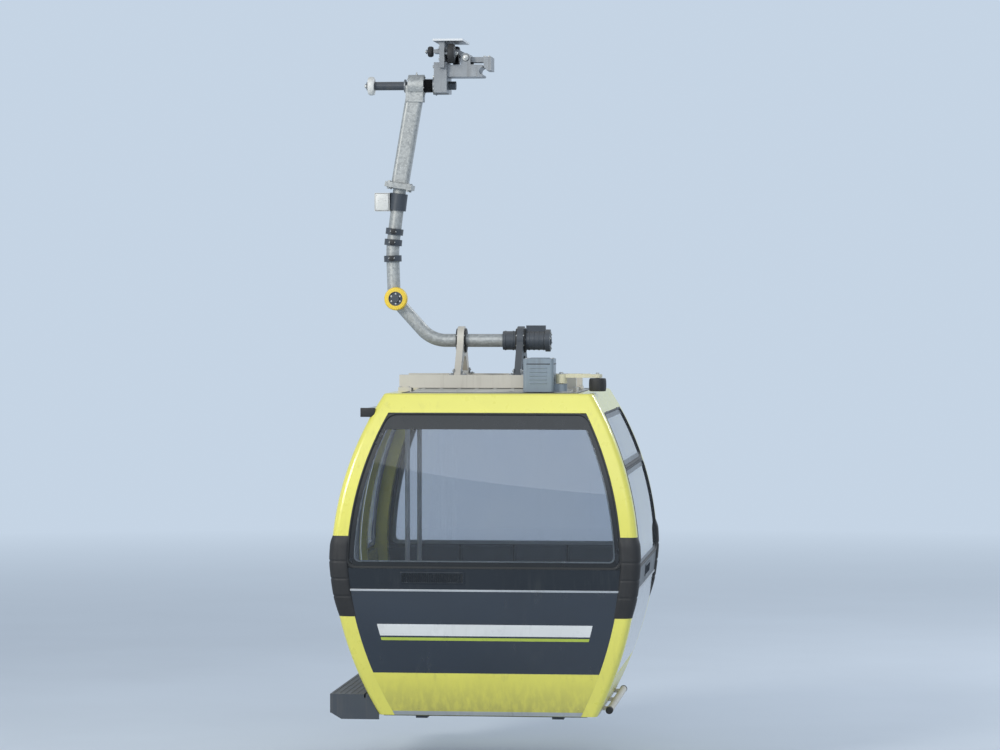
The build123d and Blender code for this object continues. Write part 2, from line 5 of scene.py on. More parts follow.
import bmesh
import bpy
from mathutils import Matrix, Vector


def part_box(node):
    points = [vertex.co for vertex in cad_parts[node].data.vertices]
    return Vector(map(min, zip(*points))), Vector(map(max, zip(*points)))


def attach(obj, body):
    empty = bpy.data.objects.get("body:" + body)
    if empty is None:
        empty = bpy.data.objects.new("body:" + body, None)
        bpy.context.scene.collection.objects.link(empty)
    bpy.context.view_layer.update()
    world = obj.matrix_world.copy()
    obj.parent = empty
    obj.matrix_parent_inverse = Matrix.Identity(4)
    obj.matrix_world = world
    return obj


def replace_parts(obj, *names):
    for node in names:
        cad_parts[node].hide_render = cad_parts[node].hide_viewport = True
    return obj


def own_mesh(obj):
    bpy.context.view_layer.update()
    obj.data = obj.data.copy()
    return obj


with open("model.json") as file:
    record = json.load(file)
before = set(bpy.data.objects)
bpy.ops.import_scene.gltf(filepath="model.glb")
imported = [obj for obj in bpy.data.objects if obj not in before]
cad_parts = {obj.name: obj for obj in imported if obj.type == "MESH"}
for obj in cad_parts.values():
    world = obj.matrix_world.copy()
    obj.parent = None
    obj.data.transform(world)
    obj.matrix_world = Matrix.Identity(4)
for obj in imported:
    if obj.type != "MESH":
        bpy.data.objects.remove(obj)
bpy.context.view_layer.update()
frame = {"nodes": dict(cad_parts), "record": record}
nodes = frame["nodes"]
scene = bpy.context.scene
for spare in ("Cube", "Light", "Camera"):  # what a new Blender file starts with
    if spare in bpy.data.objects:
        bpy.data.objects.remove(bpy.data.objects[spare])
print("frame loaded:", len(nodes), "nodes")

axisX, axisY, axisZ = Vector((1, 0, 0)), Vector((0, 1, 0)), Vector((0, 0, 1))
ends = (("uphill", -1), ("downhill", 1))
bothWays = (-1, 1)
finishes = {}

# Shape of the cabin's body, in metres, as in the part: heights count from its underside
# The walls' numbers are half widths at floor, belt and roof, and the bulges below and above the belt
body = {
    "offset": 0.110, "underside": -4.440,
    "height": 2.200, "belt": 1.060, "beltRound": 0.700,
    "side": (0.750, 1.046, 0.715, 0.058, 0.080),
    "end": (0.812, 1.066, 0.790, 0.044, 0.060),
    "post": 0.112, "railLow": 0.880, "railHigh": 1.020, "head": 2.070, "vent": 1.690, "floor": 0.110,
    "ventGap": 0.005, "leaf": (0.058, 0.364), "besideLeaf": 0.4563,
}


def arcCentre(low, high, bulge):
    chord = math.dist(low, high)
    radius = (chord ** 2 / 4 + bulge ** 2) / (2 * bulge)
    across = ((high[1] - low[1]) / chord, (low[0] - high[0]) / chord)
    return [(low[k] + high[k]) / 2 - across[k] * (radius - bulge) for k in (0, 1)], radius


# Half width as a function of height: an arc below and one above the belt, with a round between them
def profile(kind):
    floorHalf, beltHalf, roofHalf, lowerBulge, upperBulge = body[kind]
    lower, lowerRadius = arcCentre((floorHalf, 0), (beltHalf, body["belt"]), lowerBulge)
    upper, upperRadius = arcCentre((beltHalf, body["belt"]), (roofHalf, body["height"]), upperBulge)
    bend = body["beltRound"]
    reachLow, reachHigh = lowerRadius - bend, upperRadius - bend
    gap = math.dist(lower, upper)
    along = (reachLow ** 2 - reachHigh ** 2 + gap ** 2) / (2 * gap)
    aside = math.sqrt(reachLow ** 2 - along ** 2)
    unit = ((upper[0] - lower[0]) / gap, (upper[1] - lower[1]) / gap)
    centre = max(
        (
            lower[0] + unit[0] * along - side * unit[1] * aside,
            lower[1] + unit[1] * along + side * unit[0] * aside,
        )
        for side in bothWays
    )
    tangents = [centre[1] + (centre[1] - arc[1]) / math.dist(arc, centre) * bend for arc in (lower, upper)]
    low, high = min(tangents), max(tangents)

    def half(z):
        if low < z < high:
            return centre[0] + math.sqrt(bend ** 2 - (z - centre[1]) ** 2)
        origin, radius = (upper, upperRadius) if z > body["belt"] else (lower, lowerRadius)
        return origin[0] + math.sqrt(radius ** 2 - (z - origin[1]) ** 2)

    return half


sideAt, endAt = profile("side"), profile("end")


# A point given from the cabin's centre line and underside, in the frame of the part
def cabinPoint(x, y, z):
    return Vector((x + body["offset"], y, z + body["underside"]))


# Walls of the body by name: a point is given by its place along the wall, its height and its depth
def endPoint(way):
    return lambda along, z, depth=0.0: cabinPoint(along, way * (endAt(z) - depth), z)


def sidePoint(way):
    return lambda along, z, depth=0.0: cabinPoint(way * (sideAt(z) - depth), along, z)


walls = {"uphill": endPoint(-1), "downhill": endPoint(1), "tower": sidePoint(1), "door": sidePoint(-1)}
acrossAt = {"uphill": sideAt, "downhill": sideAt, "tower": endAt, "door": endAt}


# The point on the wall, the way out of it and the way along it
def wallFrame(wall, along, z, depth=0.0):
    point, step = walls[wall], 0.01
    alongWay = (point(along + step, z) - point(along - step, z)).normalized()
    upWay = (point(along, z + step) - point(along, z - step)).normalized()
    out = alongWay.cross(upWay)
    if out.dot(point(along, z, -step) - point(along, z, step)) < 0:
        out = -out
    return point(along, z, depth), out, alongWay


# Runs the action on the object's mesh as a bmesh
def reshape(thing, action):
    work = bmesh.new()
    work.from_mesh(thing.data)
    action(work)
    work.to_mesh(thing.data)
    work.free()
    return thing


# Smooth faces with sharp edges kept where the surface turns
def smoothByAngle(thing, angle=38):
    def action(work):
        for face in work.faces:
            face.smooth = True
        for edge in work.edges:
            if len(edge.link_faces) == 2:
                edge.smooth = edge.calc_face_angle(0) < math.radians(angle)
    return reshape(thing, action)


def linked(name, mesh):
    thing = bpy.data.objects.new(name, mesh)
    scene.collection.objects.link(thing)
    return thing


def meshObject(name, points, faces):
    mesh = bpy.data.meshes.new(name)
    mesh.from_pydata([tuple(p) for p in points], [], faces)
    return linked(name, mesh)


# Skin over closed loops of points. It closes on itself, or its ends are filled: "flat" by one face each,
# "strip" by faces between the first and the second half of the loop
def skin(loops, finish, ending=None, angle=38):
    size, count = len(loops[0]), len(loops)
    faces = []
    for j in range(count - (1 if ending else 0)):
        first, second = j * size, (j + 1) % count * size
        for i in range(size):
            k = (i + 1) % size
            faces.append((first + i, first + k, second + k, second + i))
    for start in (0, (count - 1) * size) if ending else ():
        if ending == "flat":
            faces.append(tuple(range(start, start + size)))
        else:
            faces += [
                (start + i, start + i + 1, start + size - 2 - i, start + size - 1 - i)
                for i in range(size // 2 - 1)
            ]

    def tidy(work):  # doubles merged, all faces outwards
        bmesh.ops.remove_doubles(work, verts=work.verts, dist=1e-5)
        bmesh.ops.recalc_face_normals(work, faces=work.faces)

    thing = reshape(meshObject("skin", [point for loop in loops for point in loop], faces), tidy)
    thing.data.materials.append(finishes[finish])
    return smoothByAngle(thing, angle) if angle else thing


# Turns the object with its modifiers into a plain mesh
def applyModifiers(thing):
    bpy.context.view_layer.update()
    graph = bpy.context.evaluated_depsgraph_get()
    mesh = bpy.data.meshes.new_from_object(thing.evaluated_get(graph))
    thing.modifiers.clear()
    thing.data = mesh
    return thing


def softenEdges(thing, width, angle=35):
    edge = thing.modifiers.new("Edges", "BEVEL")
    edge.width = width
    edge.segments = 2
    edge.limit_method = "ANGLE"
    edge.angle_limit = math.radians(angle)
    return smoothByAngle(applyModifiers(thing))


# One object from several, with their materials kept, riding a body
def ride(name, things, slot, rideOn="carrier"):
    work = bmesh.new()
    slots = []
    for thing in things:
        places = []
        for material in thing.data.materials:
            if material not in slots:
                slots.append(material)
            places.append(slots.index(material))
        first = len(work.faces)
        work.from_mesh(thing.data)
        work.faces.ensure_lookup_table()
        for face in work.faces[first:]:
            face.material_index = places[min(face.material_index, len(places) - 1)]
    mesh = bpy.data.meshes.new(name)
    work.to_mesh(mesh)
    work.free()
    for material in slots:
        mesh.materials.append(material)
    for thing in things:
        bpy.data.objects.remove(thing)
    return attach(linked(name, mesh), rideOn)


# Block between two corners with softened edges
def box(low, high, finish, soft=0.002):
    corners = ((low[1], low[2]), (high[1], low[2]), (high[1], high[2]), (low[1], high[2]))
    loops = [[(x, y, z) for y, z in corners] for x in (low[0], high[0])]
    return softenEdges(skin(loops, finish, "flat", None), soft)


# Points of a circle about an axis
def circle(middle, axis, radius, count, shift=0.0):
    aim = Vector(axis)
    aside = aim.orthogonal().normalized()
    upward = aim.cross(aside)
    turns = [2 * math.pi * (i + shift) / count for i in range(count)]
    return [Vector(middle) + (aside * math.cos(turn) + upward * math.sin(turn)) * radius for turn in turns]


# Round piece: the outline's (distance along the axis, radius) pairs turned about the axis
def turned(outline, middle, axis, finish, steps=64, angle=38, ending=None):
    loops = [circle(Vector(middle) + Vector(axis) * along, axis, radius, steps) for along, radius in outline]
    return skin(loops, finish, ending, angle)


# Adds a node and returns one of its outputs. A wire is a value, a node's output or a list of outputs.
def add(tree, kind, wires=None, out=0, **settings):
    node = tree.nodes.new(kind)
    for key, value in settings.items():
        setattr(node, key, value)
    for key, value in (wires or {}).items():
        socket = node.inputs[key]
        if isinstance(value, (bpy.types.NodeSocket, list)):
            for source in value if isinstance(value, list) else [value]:
                tree.links.new(source, socket)
        else:
            socket.default_value = value
    return node.outputs[out]


def scaled(tree, value, factor, operation="MULTIPLY"):
    return add(tree, "ShaderNodeMath", {0: value, 1: factor}, operation=operation)


def combined(tree, x=0.0, y=0.0, z=0.0):
    return add(tree, "ShaderNodeCombineXYZ", {0: x, 1: y, 2: z})


# Node group: a socket is given by its default number or color, or by the name of its type
def newTree(name, kind, inputs, outputs):
    tree = bpy.data.node_groups.new(name, kind)
    for direction, sockets in (("INPUT", inputs), ("OUTPUT", outputs)):
        for label, value in sockets.items():
            kindOf = value if isinstance(value, str) else "Color" if isinstance(value, tuple) else "Float"
            socket = tree.interface.new_socket(label, in_out=direction, socket_type="NodeSocket" + kindOf)
            if not isinstance(value, str):
                socket.default_value = value
    return tree, tree.nodes.new("NodeGroupInput").outputs, tree.nodes.new("NodeGroupOutput").inputs


# Geometry Nodes: a shape set on points, or along their edges, facing the way "aim" with "side" across
def repeatTree(name, inputs, shape, along=False):
    sockets = {"Points": "Geometry", **inputs, **({"Spacing": 0.05} if along else {}), "Finish": "Material"}
    tree, given, end = newTree(name, "GeometryNodeTree", sockets, {"Geometry": "Geometry"})
    places = given["Points"]
    if along:
        path = add(tree, "GeometryNodeMeshToCurve", {"Mesh": places})
        places = add(
            tree, "GeometryNodeResampleCurve", {"Curve": path, "Length": given["Spacing"]}, mode="LENGTH",
        )
    aim, side = (
        add(tree, "GeometryNodeInputNamedAttribute", {"Name": label}, data_type="FLOAT_VECTOR")
        for label in ("aim", "side")
    )
    turn = add(tree, "FunctionNodeAxesToRotation", {"Primary Axis": aim, "Secondary Axis": side},
               primary_axis="Z", secondary_axis="X")
    copies = add(
        tree, "GeometryNodeInstanceOnPoints",
        {"Points": places, "Instance": shape(tree, given), "Rotation": turn},
    )
    solid = add(tree, "GeometryNodeRealizeInstances", {"Geometry": copies})
    painted = add(tree, "GeometryNodeSetMaterial", {"Geometry": solid, "Material": given["Finish"]})
    tree.links.new(painted, end["Geometry"])
    return tree


# Runs a tree on places, each (point, aim, side), joined in rows where the tree follows edges
def repeated(rows, tree, values, finish):
    points, edges, aims, sides = [], [], [], []
    for row in rows:
        first = len(points)
        for point, aim, side in row:
            points.append(tuple(point))
            aims.extend(aim)
            sides.extend(side)
        edges.extend((k, k + 1) for k in range(first, len(points) - 1))
    mesh = bpy.data.meshes.new("places")
    mesh.from_pydata(points, edges, [])
    for label, data in (("aim", aims), ("side", sides)):
        mesh.attributes.new(label, "FLOAT_VECTOR", "POINT").data.foreach_set("vector", data)
    thing = linked("places", mesh)
    modifier = thing.modifiers.new("Repeat", "NODES")
    modifier.node_group = tree
    given = dict(values, Finish=finishes[finish])
    for item in tree.interface.items_tree:
        if item.in_out == "INPUT" and item.name in given:
            modifier[item.identifier] = given[item.name]
    return smoothByAngle(applyModifiers(thing))


# Effects shared by the finishes
def noise(tree, vector, stretch, scale, detail=3.0, roughness=0.55):
    placed = add(tree, "ShaderNodeMapping", {"Vector": vector, "Scale": stretch})
    return add(
        tree, "ShaderNodeTexNoise",
        {"Vector": placed, "Scale": scale, "Detail": detail, "Roughness": roughness},
    )


def remap(tree, value, fromMin, fromMax, toMin=0.0, toMax=1.0):
    return add(tree, "ShaderNodeMapRange", {
        "Value": value, "From Min": fromMin, "From Max": fromMax, "To Min": toMin, "To Max": toMax,
    })


def blend(tree, factor, first, second, mode="MIX"):
    wires = {0: factor, 6: first, 7: second}  # a color mix has its sockets at these numbers
    return add(tree, "ShaderNodeMix", wires, 2, data_type="RGBA", blend_type=mode)


def toned(tree, color, tone):
    grey = add(tree, "ShaderNodeCombineColor", {0: tone, 1: tone, 2: tone})
    return blend(tree, 1.0, color, grey, "MULTIPLY")


even = (1, 1, 1)
middleGrey = (0.5, 0.5, 0.5, 1)


def makeWeather():  # patchy tone, rain streaks, dust on top faces and darkening towards the bottom
    tree, given, end = newTree("weather", "ShaderNodeTree", {
        "Vector": "Vector", "Color": middleGrey, "Roughness": 0.4, "Dirt Color": (0.10, 0.09, 0.07, 1),
        "Patches": 0.1, "Streaks": 0.2, "Dust": 0.2, "Low Darkening": 0.0,
    }, {"Color": "Color", "Roughness": "Float"})
    place = given["Vector"]
    patches = remap(tree, noise(tree, place, even, 2.3, 5.0), 0.3, 0.7, -1.0, 1.0)
    tone = add(tree, "ShaderNodeMath", {0: patches, 1: given["Patches"], 2: 1.0}, operation="MULTIPLY_ADD")
    runs = noise(tree, place, (1, 1, 0.045), 26.0, 4.0, 0.6)
    fading = noise(tree, place, even, 3.1, 2.0)
    up = add(tree, "ShaderNodeSeparateXYZ", {0: add(tree, "ShaderNodeNewGeometry", out="Normal")}, "Z")
    height = add(tree, "ShaderNodeSeparateXYZ", {0: place}, "Z")
    dirt = None
    for share, first, second in (
        ("Streaks", remap(tree, runs, 0.52, 0.72), remap(tree, fading, 0.4, 0.65)),
        ("Dust", remap(tree, up, 0.35, 0.95), remap(tree, fading, 0.25, 0.7, 0.5, 1.0)),
        # darker towards the bottom: the lowest 0.3 m of the cabin blends toward the same dark colour as the
        # dirt, broken up by the streak noise
        ("Low Darkening", remap(tree, height, -4.16, -4.46), remap(tree, runs, 0.3, 0.6, 0.4, 1.0)),
    ):
        layer = scaled(tree, scaled(tree, first, second), given[share])
        dirt = scaled(tree, dirt, layer, "MAXIMUM") if dirt else layer
    fine = remap(tree, noise(tree, place, even, 17.0, 4.0), 0.3, 0.7, -0.05, 0.06)
    rough = scaled(tree, scaled(tree, given["Roughness"], fine, "ADD"), scaled(tree, dirt, 0.35), "ADD")
    tree.links.new(blend(tree, dirt, toned(tree, given["Color"], tone), given["Dirt Color"]), end["Color"])
    tree.links.new(rough, end["Roughness"])
    return tree


def makeWornEdges():  # where an edge has rubbed through, broken up by noise
    tree, given, end = newTree("wornEdges", "ShaderNodeTree", {
        "Vector": "Vector", "Color": middleGrey, "Under Color": (0.3, 0.3, 0.3, 1), "Width": 0.003,
        "Amount": 0.5,
    }, {"Color": "Color", "Bare": "Float"})
    soft = add(tree, "ShaderNodeBevel", {"Radius": given["Width"]}, samples=4)
    flat = add(tree, "ShaderNodeNewGeometry", out="Normal")
    bend = add(tree, "ShaderNodeVectorMath", {0: soft, 1: flat}, "Value", operation="DOT_PRODUCT")
    broken = remap(tree, noise(tree, given["Vector"], even, 46.0, 5.0, 0.7), 0.46, 0.62)
    bare = scaled(tree, scaled(tree, remap(tree, bend, 0.995, 0.86), broken), given["Amount"])
    tree.links.new(blend(tree, bare, given["Color"], given["Under Color"]), end["Color"])
    tree.links.new(bare, end["Bare"])
    return tree


def makeSurface():  # heights for bumps: orange peel, moulded grain, brushing along one way and slow waves
    tree, given, end = newTree("surface", "ShaderNodeTree", {
        "Vector": "Vector", "Peel": 0.0, "Peel Scale": 160.0, "Grain": 0.0, "Grain Scale": 900.0,
        "Brushing": 0.0, "Waves": 0.0,
    }, {"Height": "Float"})
    place = given["Vector"]
    total = None
    for share, height in (
        (
            "Peel",
            add(tree, "ShaderNodeTexNoise", {"Vector": place, "Scale": given["Peel Scale"], "Detail": 1.0}),
        ),
        (
            "Grain",
            add(tree, "ShaderNodeTexVoronoi", {"Vector": place, "Scale": given["Grain Scale"]}, "Distance"),
        ),
        ("Brushing", noise(tree, place, (1, 0.02, 1), 700.0, 2.0)),
        ("Waves", noise(tree, place, (1, 1, 0.6), 5.0, 1.0)),
    ):
        layer = scaled(tree, height, given[share])
        total = scaled(tree, total, layer, "ADD") if total else layer
    tree.links.new(total, end["Height"])
    return tree


def makeSpangle():  # crystals of a galvanised coat
    tree, given, end = newTree("spangle", "ShaderNodeTree", {
        "Vector": "Vector", "Color": middleGrey, "Scale": 60.0, "Amount": 0.2,
    }, {"Color": "Color", "Roughness": "Float"})
    cells = add(tree, "ShaderNodeTexVoronoi", {"Vector": given["Vector"], "Scale": given["Scale"]}, "Color")
    tone = add(tree, "ShaderNodeSeparateColor", {0: cells})
    crystals = toned(tree, given["Color"], remap(tree, tone, 0.0, 1.0, 0.78, 1.16))
    tree.links.new(blend(tree, given["Amount"], given["Color"], crystals), end["Color"])
    tree.links.new(remap(tree, tone, 0.0, 1.0, 0.34, 0.56), end["Roughness"])
    return tree


weather, wornEdges, surface, spangle = makeWeather(), makeWornEdges(), makeSurface(), makeSpangle()


def grouped(tree, group, wires):
    return add(tree, "ShaderNodeGroup", wires, node_tree=group).node.outputs


# New material with its tree, its shader's sockets and its place
def newMaterial(name):
    material = bpy.data.materials.new(name)
    material.use_nodes = True
    tree = material.node_tree
    place = tree.nodes.new("ShaderNodeTexCoord").outputs["Object"]
    return material, tree, tree.nodes["Principled BSDF"].inputs, place


# What a finish has where its own look says nothing
usual = {
    "metallic": 0.0, "coat": 0.0, "coatRoughness": 0.06, "under": (0.30, 0.30, 0.29), "wearWidth": 0.003,
    "patches": 0.06, "streaks": 0.2, "dust": 0.25, "low darkening": 0.0, "dirt": (0.11, 0.10, 0.08), "peel": 0.0,
    "peelScale": 160.0, "grain": 0.0, "grainScale": 900.0, "brushing": 0.0, "waves": 0.0, "bump": 0.2,
}


# A coated or bare surface with its weather, worn edges and relief
def makeFinish(name, own):
    look = {**usual, **own}
    material, tree, sockets, place = newMaterial(name)
    color, rough, metallic = (*look["color"], 1), look["roughness"], look["metallic"]
    if "spangle" in look:
        zinc = grouped(
            tree, spangle, {"Vector": place, "Color": color, "Scale": look["spangle"], "Amount": 0.8},
        )
        color, rough = zinc["Color"], zinc["Roughness"]
    if "wear" in look:
        worn = grouped(tree, wornEdges, {
            "Vector": place, "Color": color, "Under Color": (*look["under"], 1), "Width": look["wearWidth"],
            "Amount": look["wear"],
        })
        color = worn["Color"]
        if "wearMetal" in look:
            metallic = scaled(tree, worn["Bare"], metallic, "MAXIMUM")
    aged = grouped(tree, weather, {
        "Vector": place, "Color": color, "Roughness": rough, "Dirt Color": (*look["dirt"], 1),
        **{label: look[label.lower()] for label in ("Patches", "Streaks", "Dust", "Low Darkening")},
    })
    relief = grouped(tree, surface, {
        "Vector": place, "Peel Scale": look["peelScale"], "Grain Scale": look["grainScale"],
        **{label: look[label.lower()] for label in ("Peel", "Grain", "Brushing", "Waves")},
    })
    wires = {"Height": relief["Height"], "Strength": look["bump"], "Distance": 0.0006}
    bump = add(tree, "ShaderNodeBump", wires)
    for label, value in (
        ("Base Color", aged["Color"]), ("Roughness", aged["Roughness"]), ("Normal", bump),
        ("Metallic", metallic),
        ("Coat Weight", look["coat"]), ("Coat Roughness", look["coatRoughness"]),
    ):
        if isinstance(value, float):
            sockets[label].default_value = value
        else:
            tree.links.new(value, sockets[label])
    return material


looks = {
    "yellow_paint": {
        "color": (0.80, 0.75, 0.13), "roughness": 0.30, "coat": 0.7, "coatRoughness": 0.14, "peel": 1.0,
        "waves": 1.5, "bump": 0.10, "patches": 0.035, "streaks": 0.16, "dust": 0.22, "wear": 0.25,
        "under": (0.42, 0.40, 0.30),
    },
    "yellow_skirt": {
        "color": (0.78, 0.73, 0.12), "roughness": 0.34, "coat": 0.5, "coatRoughness": 0.16, "peel": 1.0,
        # darker towards the bottom of the cabin, over the skirt's height
        "waves": 1.5, "bump": 0.12, "patches": 0.05, "streaks": 0.25, "dust": 0.2, "low darkening": 0.55,
        "wear": 0.35, "under": (0.42, 0.40, 0.30),
    },
    "dark_panel": {
        "color": (0.010, 0.019, 0.034), "roughness": 0.14, "coat": 0.8, "peel": 0.7, "waves": 2.0,
        "bump": 0.08, "patches": 0.12, "streaks": 0.10, "dust": 0.25, "dirt": (0.14, 0.14, 0.13),
        "wear": 0.15,
    },
    "belt_rail": {
        "color": (0.020, 0.026, 0.034), "roughness": 0.34, "metallic": 0.35, "brushing": 1.0, "bump": 0.15,
        "streaks": 0.14, "dust": 0.3, "dirt": (0.16, 0.16, 0.15), "wear": 0.4, "under": (0.30, 0.31, 0.32),
    },
    "floor_metal": {
        "color": (0.40, 0.41, 0.42), "roughness": 0.42, "metallic": 0.8, "brushing": 1.0, "bump": 0.2,
        # darker towards the bottom of the cabin
        "patches": 0.14, "dust": 0.35, "low darkening": 0.45, "wear": 0.3,
    },
    "roof_skin": {
        "color": (0.58, 0.58, 0.53), "roughness": 0.42, "coat": 0.2, "peel": 0.6, "grain": 0.5,
        "grainScale": 420.0, "bump": 0.2, "patches": 0.10, "streaks": 0.2, "dust": 0.45,
    },
    "rubber": {
        "color": (0.020, 0.020, 0.021), "roughness": 0.62, "peel": 0.5, "peelScale": 320.0, "bump": 0.3,
        "patches": 0.2, "streaks": 0.15, "dust": 0.35, "dirt": (0.15, 0.14, 0.13),
    },
    "bare_aluminium": {
        "color": (0.56, 0.57, 0.58), "roughness": 0.50, "metallic": 1.0, "brushing": 1.0, "bump": 0.18,
        "patches": 0.07, "streaks": 0.18, "dust": 0.2,
    },
    "dark_steel": {
        "color": (0.050, 0.060, 0.074), "roughness": 0.46, "peel": 1.0, "bump": 0.25, "patches": 0.12,
        "streaks": 0.3, "dust": 0.4, "dirt": (0.20, 0.18, 0.15), "wear": 0.7, "under": (0.35, 0.34, 0.33),
        "wearMetal": True,
    },
    "pale_frame": {
        "color": (0.60, 0.57, 0.50), "roughness": 0.44, "peel": 1.0, "bump": 0.22, "patches": 0.08,
        "streaks": 0.4, "dust": 0.35, "dirt": (0.17, 0.14, 0.10), "wear": 0.6, "under": (0.20, 0.15, 0.11),
    },
    "seat_shell": {
        "color": (0.045, 0.060, 0.085), "roughness": 0.48, "grain": 1.0, "grainScale": 520.0, "bump": 0.35,
        "patches": 0.08, "streaks": 0.0, "dust": 0.12,
    },
    "bench_frame": {"color": (0.40, 0.42, 0.43), "roughness": 0.45, "peel": 1.0, "wear": 0.5, "dust": 0.2},
    "drive_case": {
        "color": (0.24, 0.29, 0.34), "roughness": 0.42, "grain": 0.8, "grainScale": 600.0, "bump": 0.25,
        "streaks": 0.3, "dust": 0.35, "wear": 0.4,
    },
    "pale_lever": {
        "color": (0.68, 0.64, 0.46), "roughness": 0.40, "peel": 1.0, "streaks": 0.25, "wear": 0.8,
        "under": (0.26, 0.24, 0.22),
    },
    "hanger_grey": {
        "color": (0.40, 0.41, 0.40), "roughness": 0.46, "metallic": 0.45, "spangle": 75.0, "peel": 0.6,
        "bump": 0.16, "patches": 0.08, "streaks": 0.28, "dirt": (0.20, 0.18, 0.15),
    },
    "yellow_roller": {
        "color": (0.80, 0.56, 0.05), "roughness": 0.40, "peel": 0.7, "patches": 0.1,
        "dirt": (0.10, 0.08, 0.05), "wear": 0.6, "under": (0.30, 0.22, 0.06), "wearWidth": 0.005,
    },
    "white_plastic": {
        "color": (0.70, 0.70, 0.67), "roughness": 0.42, "grain": 0.5, "grainScale": 700.0, "streaks": 0.25,
        "dust": 0.3, "patches": 0.05,
    },
    "grip_steel": {
        "color": (0.26, 0.27, 0.28), "roughness": 0.40, "metallic": 0.85, "peel": 1.2, "peelScale": 90.0,
        "bump": 0.3, "patches": 0.16, "streaks": 0.5, "dust": 0.3, "dirt": (0.06, 0.05, 0.04), "wear": 0.8,
        "under": (0.55, 0.55, 0.54),
    },
    "spring_steel": {
        "color": (0.16, 0.17, 0.20), "roughness": 0.32, "metallic": 1.0, "brushing": 0.6, "bump": 0.15,
        "patches": 0.15, "wear": 0.7, "under": (0.5, 0.5, 0.5),
    },
    # finishes of added pieces only
    "frit": {
        "color": (0.006, 0.008, 0.010), "roughness": 0.30, "coat": 0.1, "peel": 0.4, "bump": 0.05,
        "dust": 0.06, "streaks": 0.04, "dirt": (0.12, 0.12, 0.12),
    },
    "gasket": {
        "color": (0.016, 0.017, 0.018), "roughness": 0.55, "peel": 0.6, "peelScale": 260.0, "bump": 0.25,
        "dust": 0.3, "streaks": 0.12, "dirt": (0.13, 0.13, 0.12),
    },
    "innerFrame": {
        "color": (0.30, 0.33, 0.35), "roughness": 0.4, "metallic": 0.5, "brushing": 1.0, "bump": 0.12,
    },
    "whiteStripe": {"color": (0.72, 0.73, 0.72), "roughness": 0.30, "coat": 0.5, "peel": 0.8, "bump": 0.08},
    "limeStripe": {"color": (0.42, 0.52, 0.06), "roughness": 0.30, "coat": 0.5, "peel": 0.8, "bump": 0.08},
    "zincBolt": {
        "color": (0.55, 0.55, 0.53), "roughness": 0.36, "metallic": 0.95, "spangle": 500.0, "peel": 0.5,
        "bump": 0.15, "streaks": 0.3, "dirt": (0.16, 0.10, 0.06),
    },
    "lampWhite": {"color": (0.80, 0.80, 0.78), "roughness": 0.35, "grain": 0.4, "bump": 0.1, "streaks": 0.0},
}
finishes.update((name, makeFinish(name, look)) for name, look in looks.items())


# Tinted pane: plain transmission, with a film of dust in its roughness
def makeGlass(name, tint, film):
    material, tree, sockets, place = newMaterial(name)
    runs = remap(tree, noise(tree, place, (1, 1, 0.05), 22.0, 4.0), 0.55, 0.8, 0.0, film)
    haze = remap(tree, noise(tree, place, even, 3.0, 2.0), 0.45, 0.75, 0.0, film)
    patches = remap(tree, noise(tree, place, even, 1.7, 3.0), 0.3, 0.7)
    color = blend(tree, patches, (*tint, 1), (tint[0] * 0.95, tint[1] * 0.97, tint[2], 1))
    tree.links.new(color, sockets["Base Color"])
    tree.links.new(scaled(tree, runs, haze, "ADD"), sockets["Roughness"])
    sockets["Transmission Weight"].default_value = 1.0
    sockets["IOR"].default_value = 1.5
    return material


finishes["window"] = makeGlass("window", (0.67, 0.69, 0.72), 0.015)
for part in frame["record"]["subparts"]:
    materials = nodes[part["node"]].data.materials
    materials.clear()
    materials.append(finishes[part["material_slot"]])
print("finishes:", len(finishes))


# Openings in the walls, each with its limits along the wall at a height
def fullWidth(wall, inset=0.0):
    reach = lambda z: acrossAt[wall](z) - body["post"] - inset
    return lambda z: (-reach(z), reach(z))


def besideDoors(way):
    near, far = body["besideLeaf"], lambda z: endAt(z) - body["post"]
    return lambda z: (near, far(z)) if way > 0 else (-far(z), -near)


def between(first, second):
    return lambda z: (min(first, second), max(first, second))


# Points round an opening at that inset, with rounded corners: (along, height)
def openingLoop(low, high, limit, inset, radius, samples=14, cornerSteps=8):
    low, high = low + inset, high - inset
    radius = max(radius - inset * 0.4, 0.004)

    def edge(side, z):
        left, right = limit(z)
        return (right - inset) if side > 0 else (left + inset)

    corners = []
    for side, z in ((-1, low), (1, low), (1, high), (-1, high)):
        inward = radius if z == low else -radius
        corners.append(
            ((edge(side, z) - side * radius, z), (edge(side, z), z), (edge(side, z + inward), z + inward))
        )
    loop = []
    for index, (onRow, corner, onSide) in enumerate(corners):
        rowFirst = index % 2
        first, last = (onRow, onSide) if rowFirst else (onSide, onRow)
        for i in range(cornerSteps + 1):
            t = i / cornerSteps
            weight = ((1 - t) ** 2, 2 * t * (1 - t) * 0.7071, t ** 2)  # a quarter of a circle
            loop.append(tuple(
                (weight[0] * first[k] + weight[1] * corner[k] + weight[2] * last[k]) / sum(weight)
                for k in (0, 1)
            ))
        nextRow, _, nextSide = corners[(index + 1) % 4]
        target = nextSide if rowFirst else nextRow
        for i in range(1, samples):
            t = i / samples
            z = last[1] + (target[1] - last[1]) * t
            along = edge(1 if index == 1 else -1, z) if rowFirst else last[0] + (target[0] - last[0]) * t
            loop.append((along, z))
    return loop


# Ring round an opening; the section lists (inset, depth) pairs, depths counted inwards from the wall's face
def openingRing(wall, low, high, limit, section, radius, finish, outer=None):
    loops = []
    for inset, depth in section:
        corner = outer if outer and inset < 0.001 else radius
        loops.append([walls[wall](a, z, depth) for a, z in openingLoop(low, high, limit, inset, corner)])
    return skin(loops, finish, angle=30)


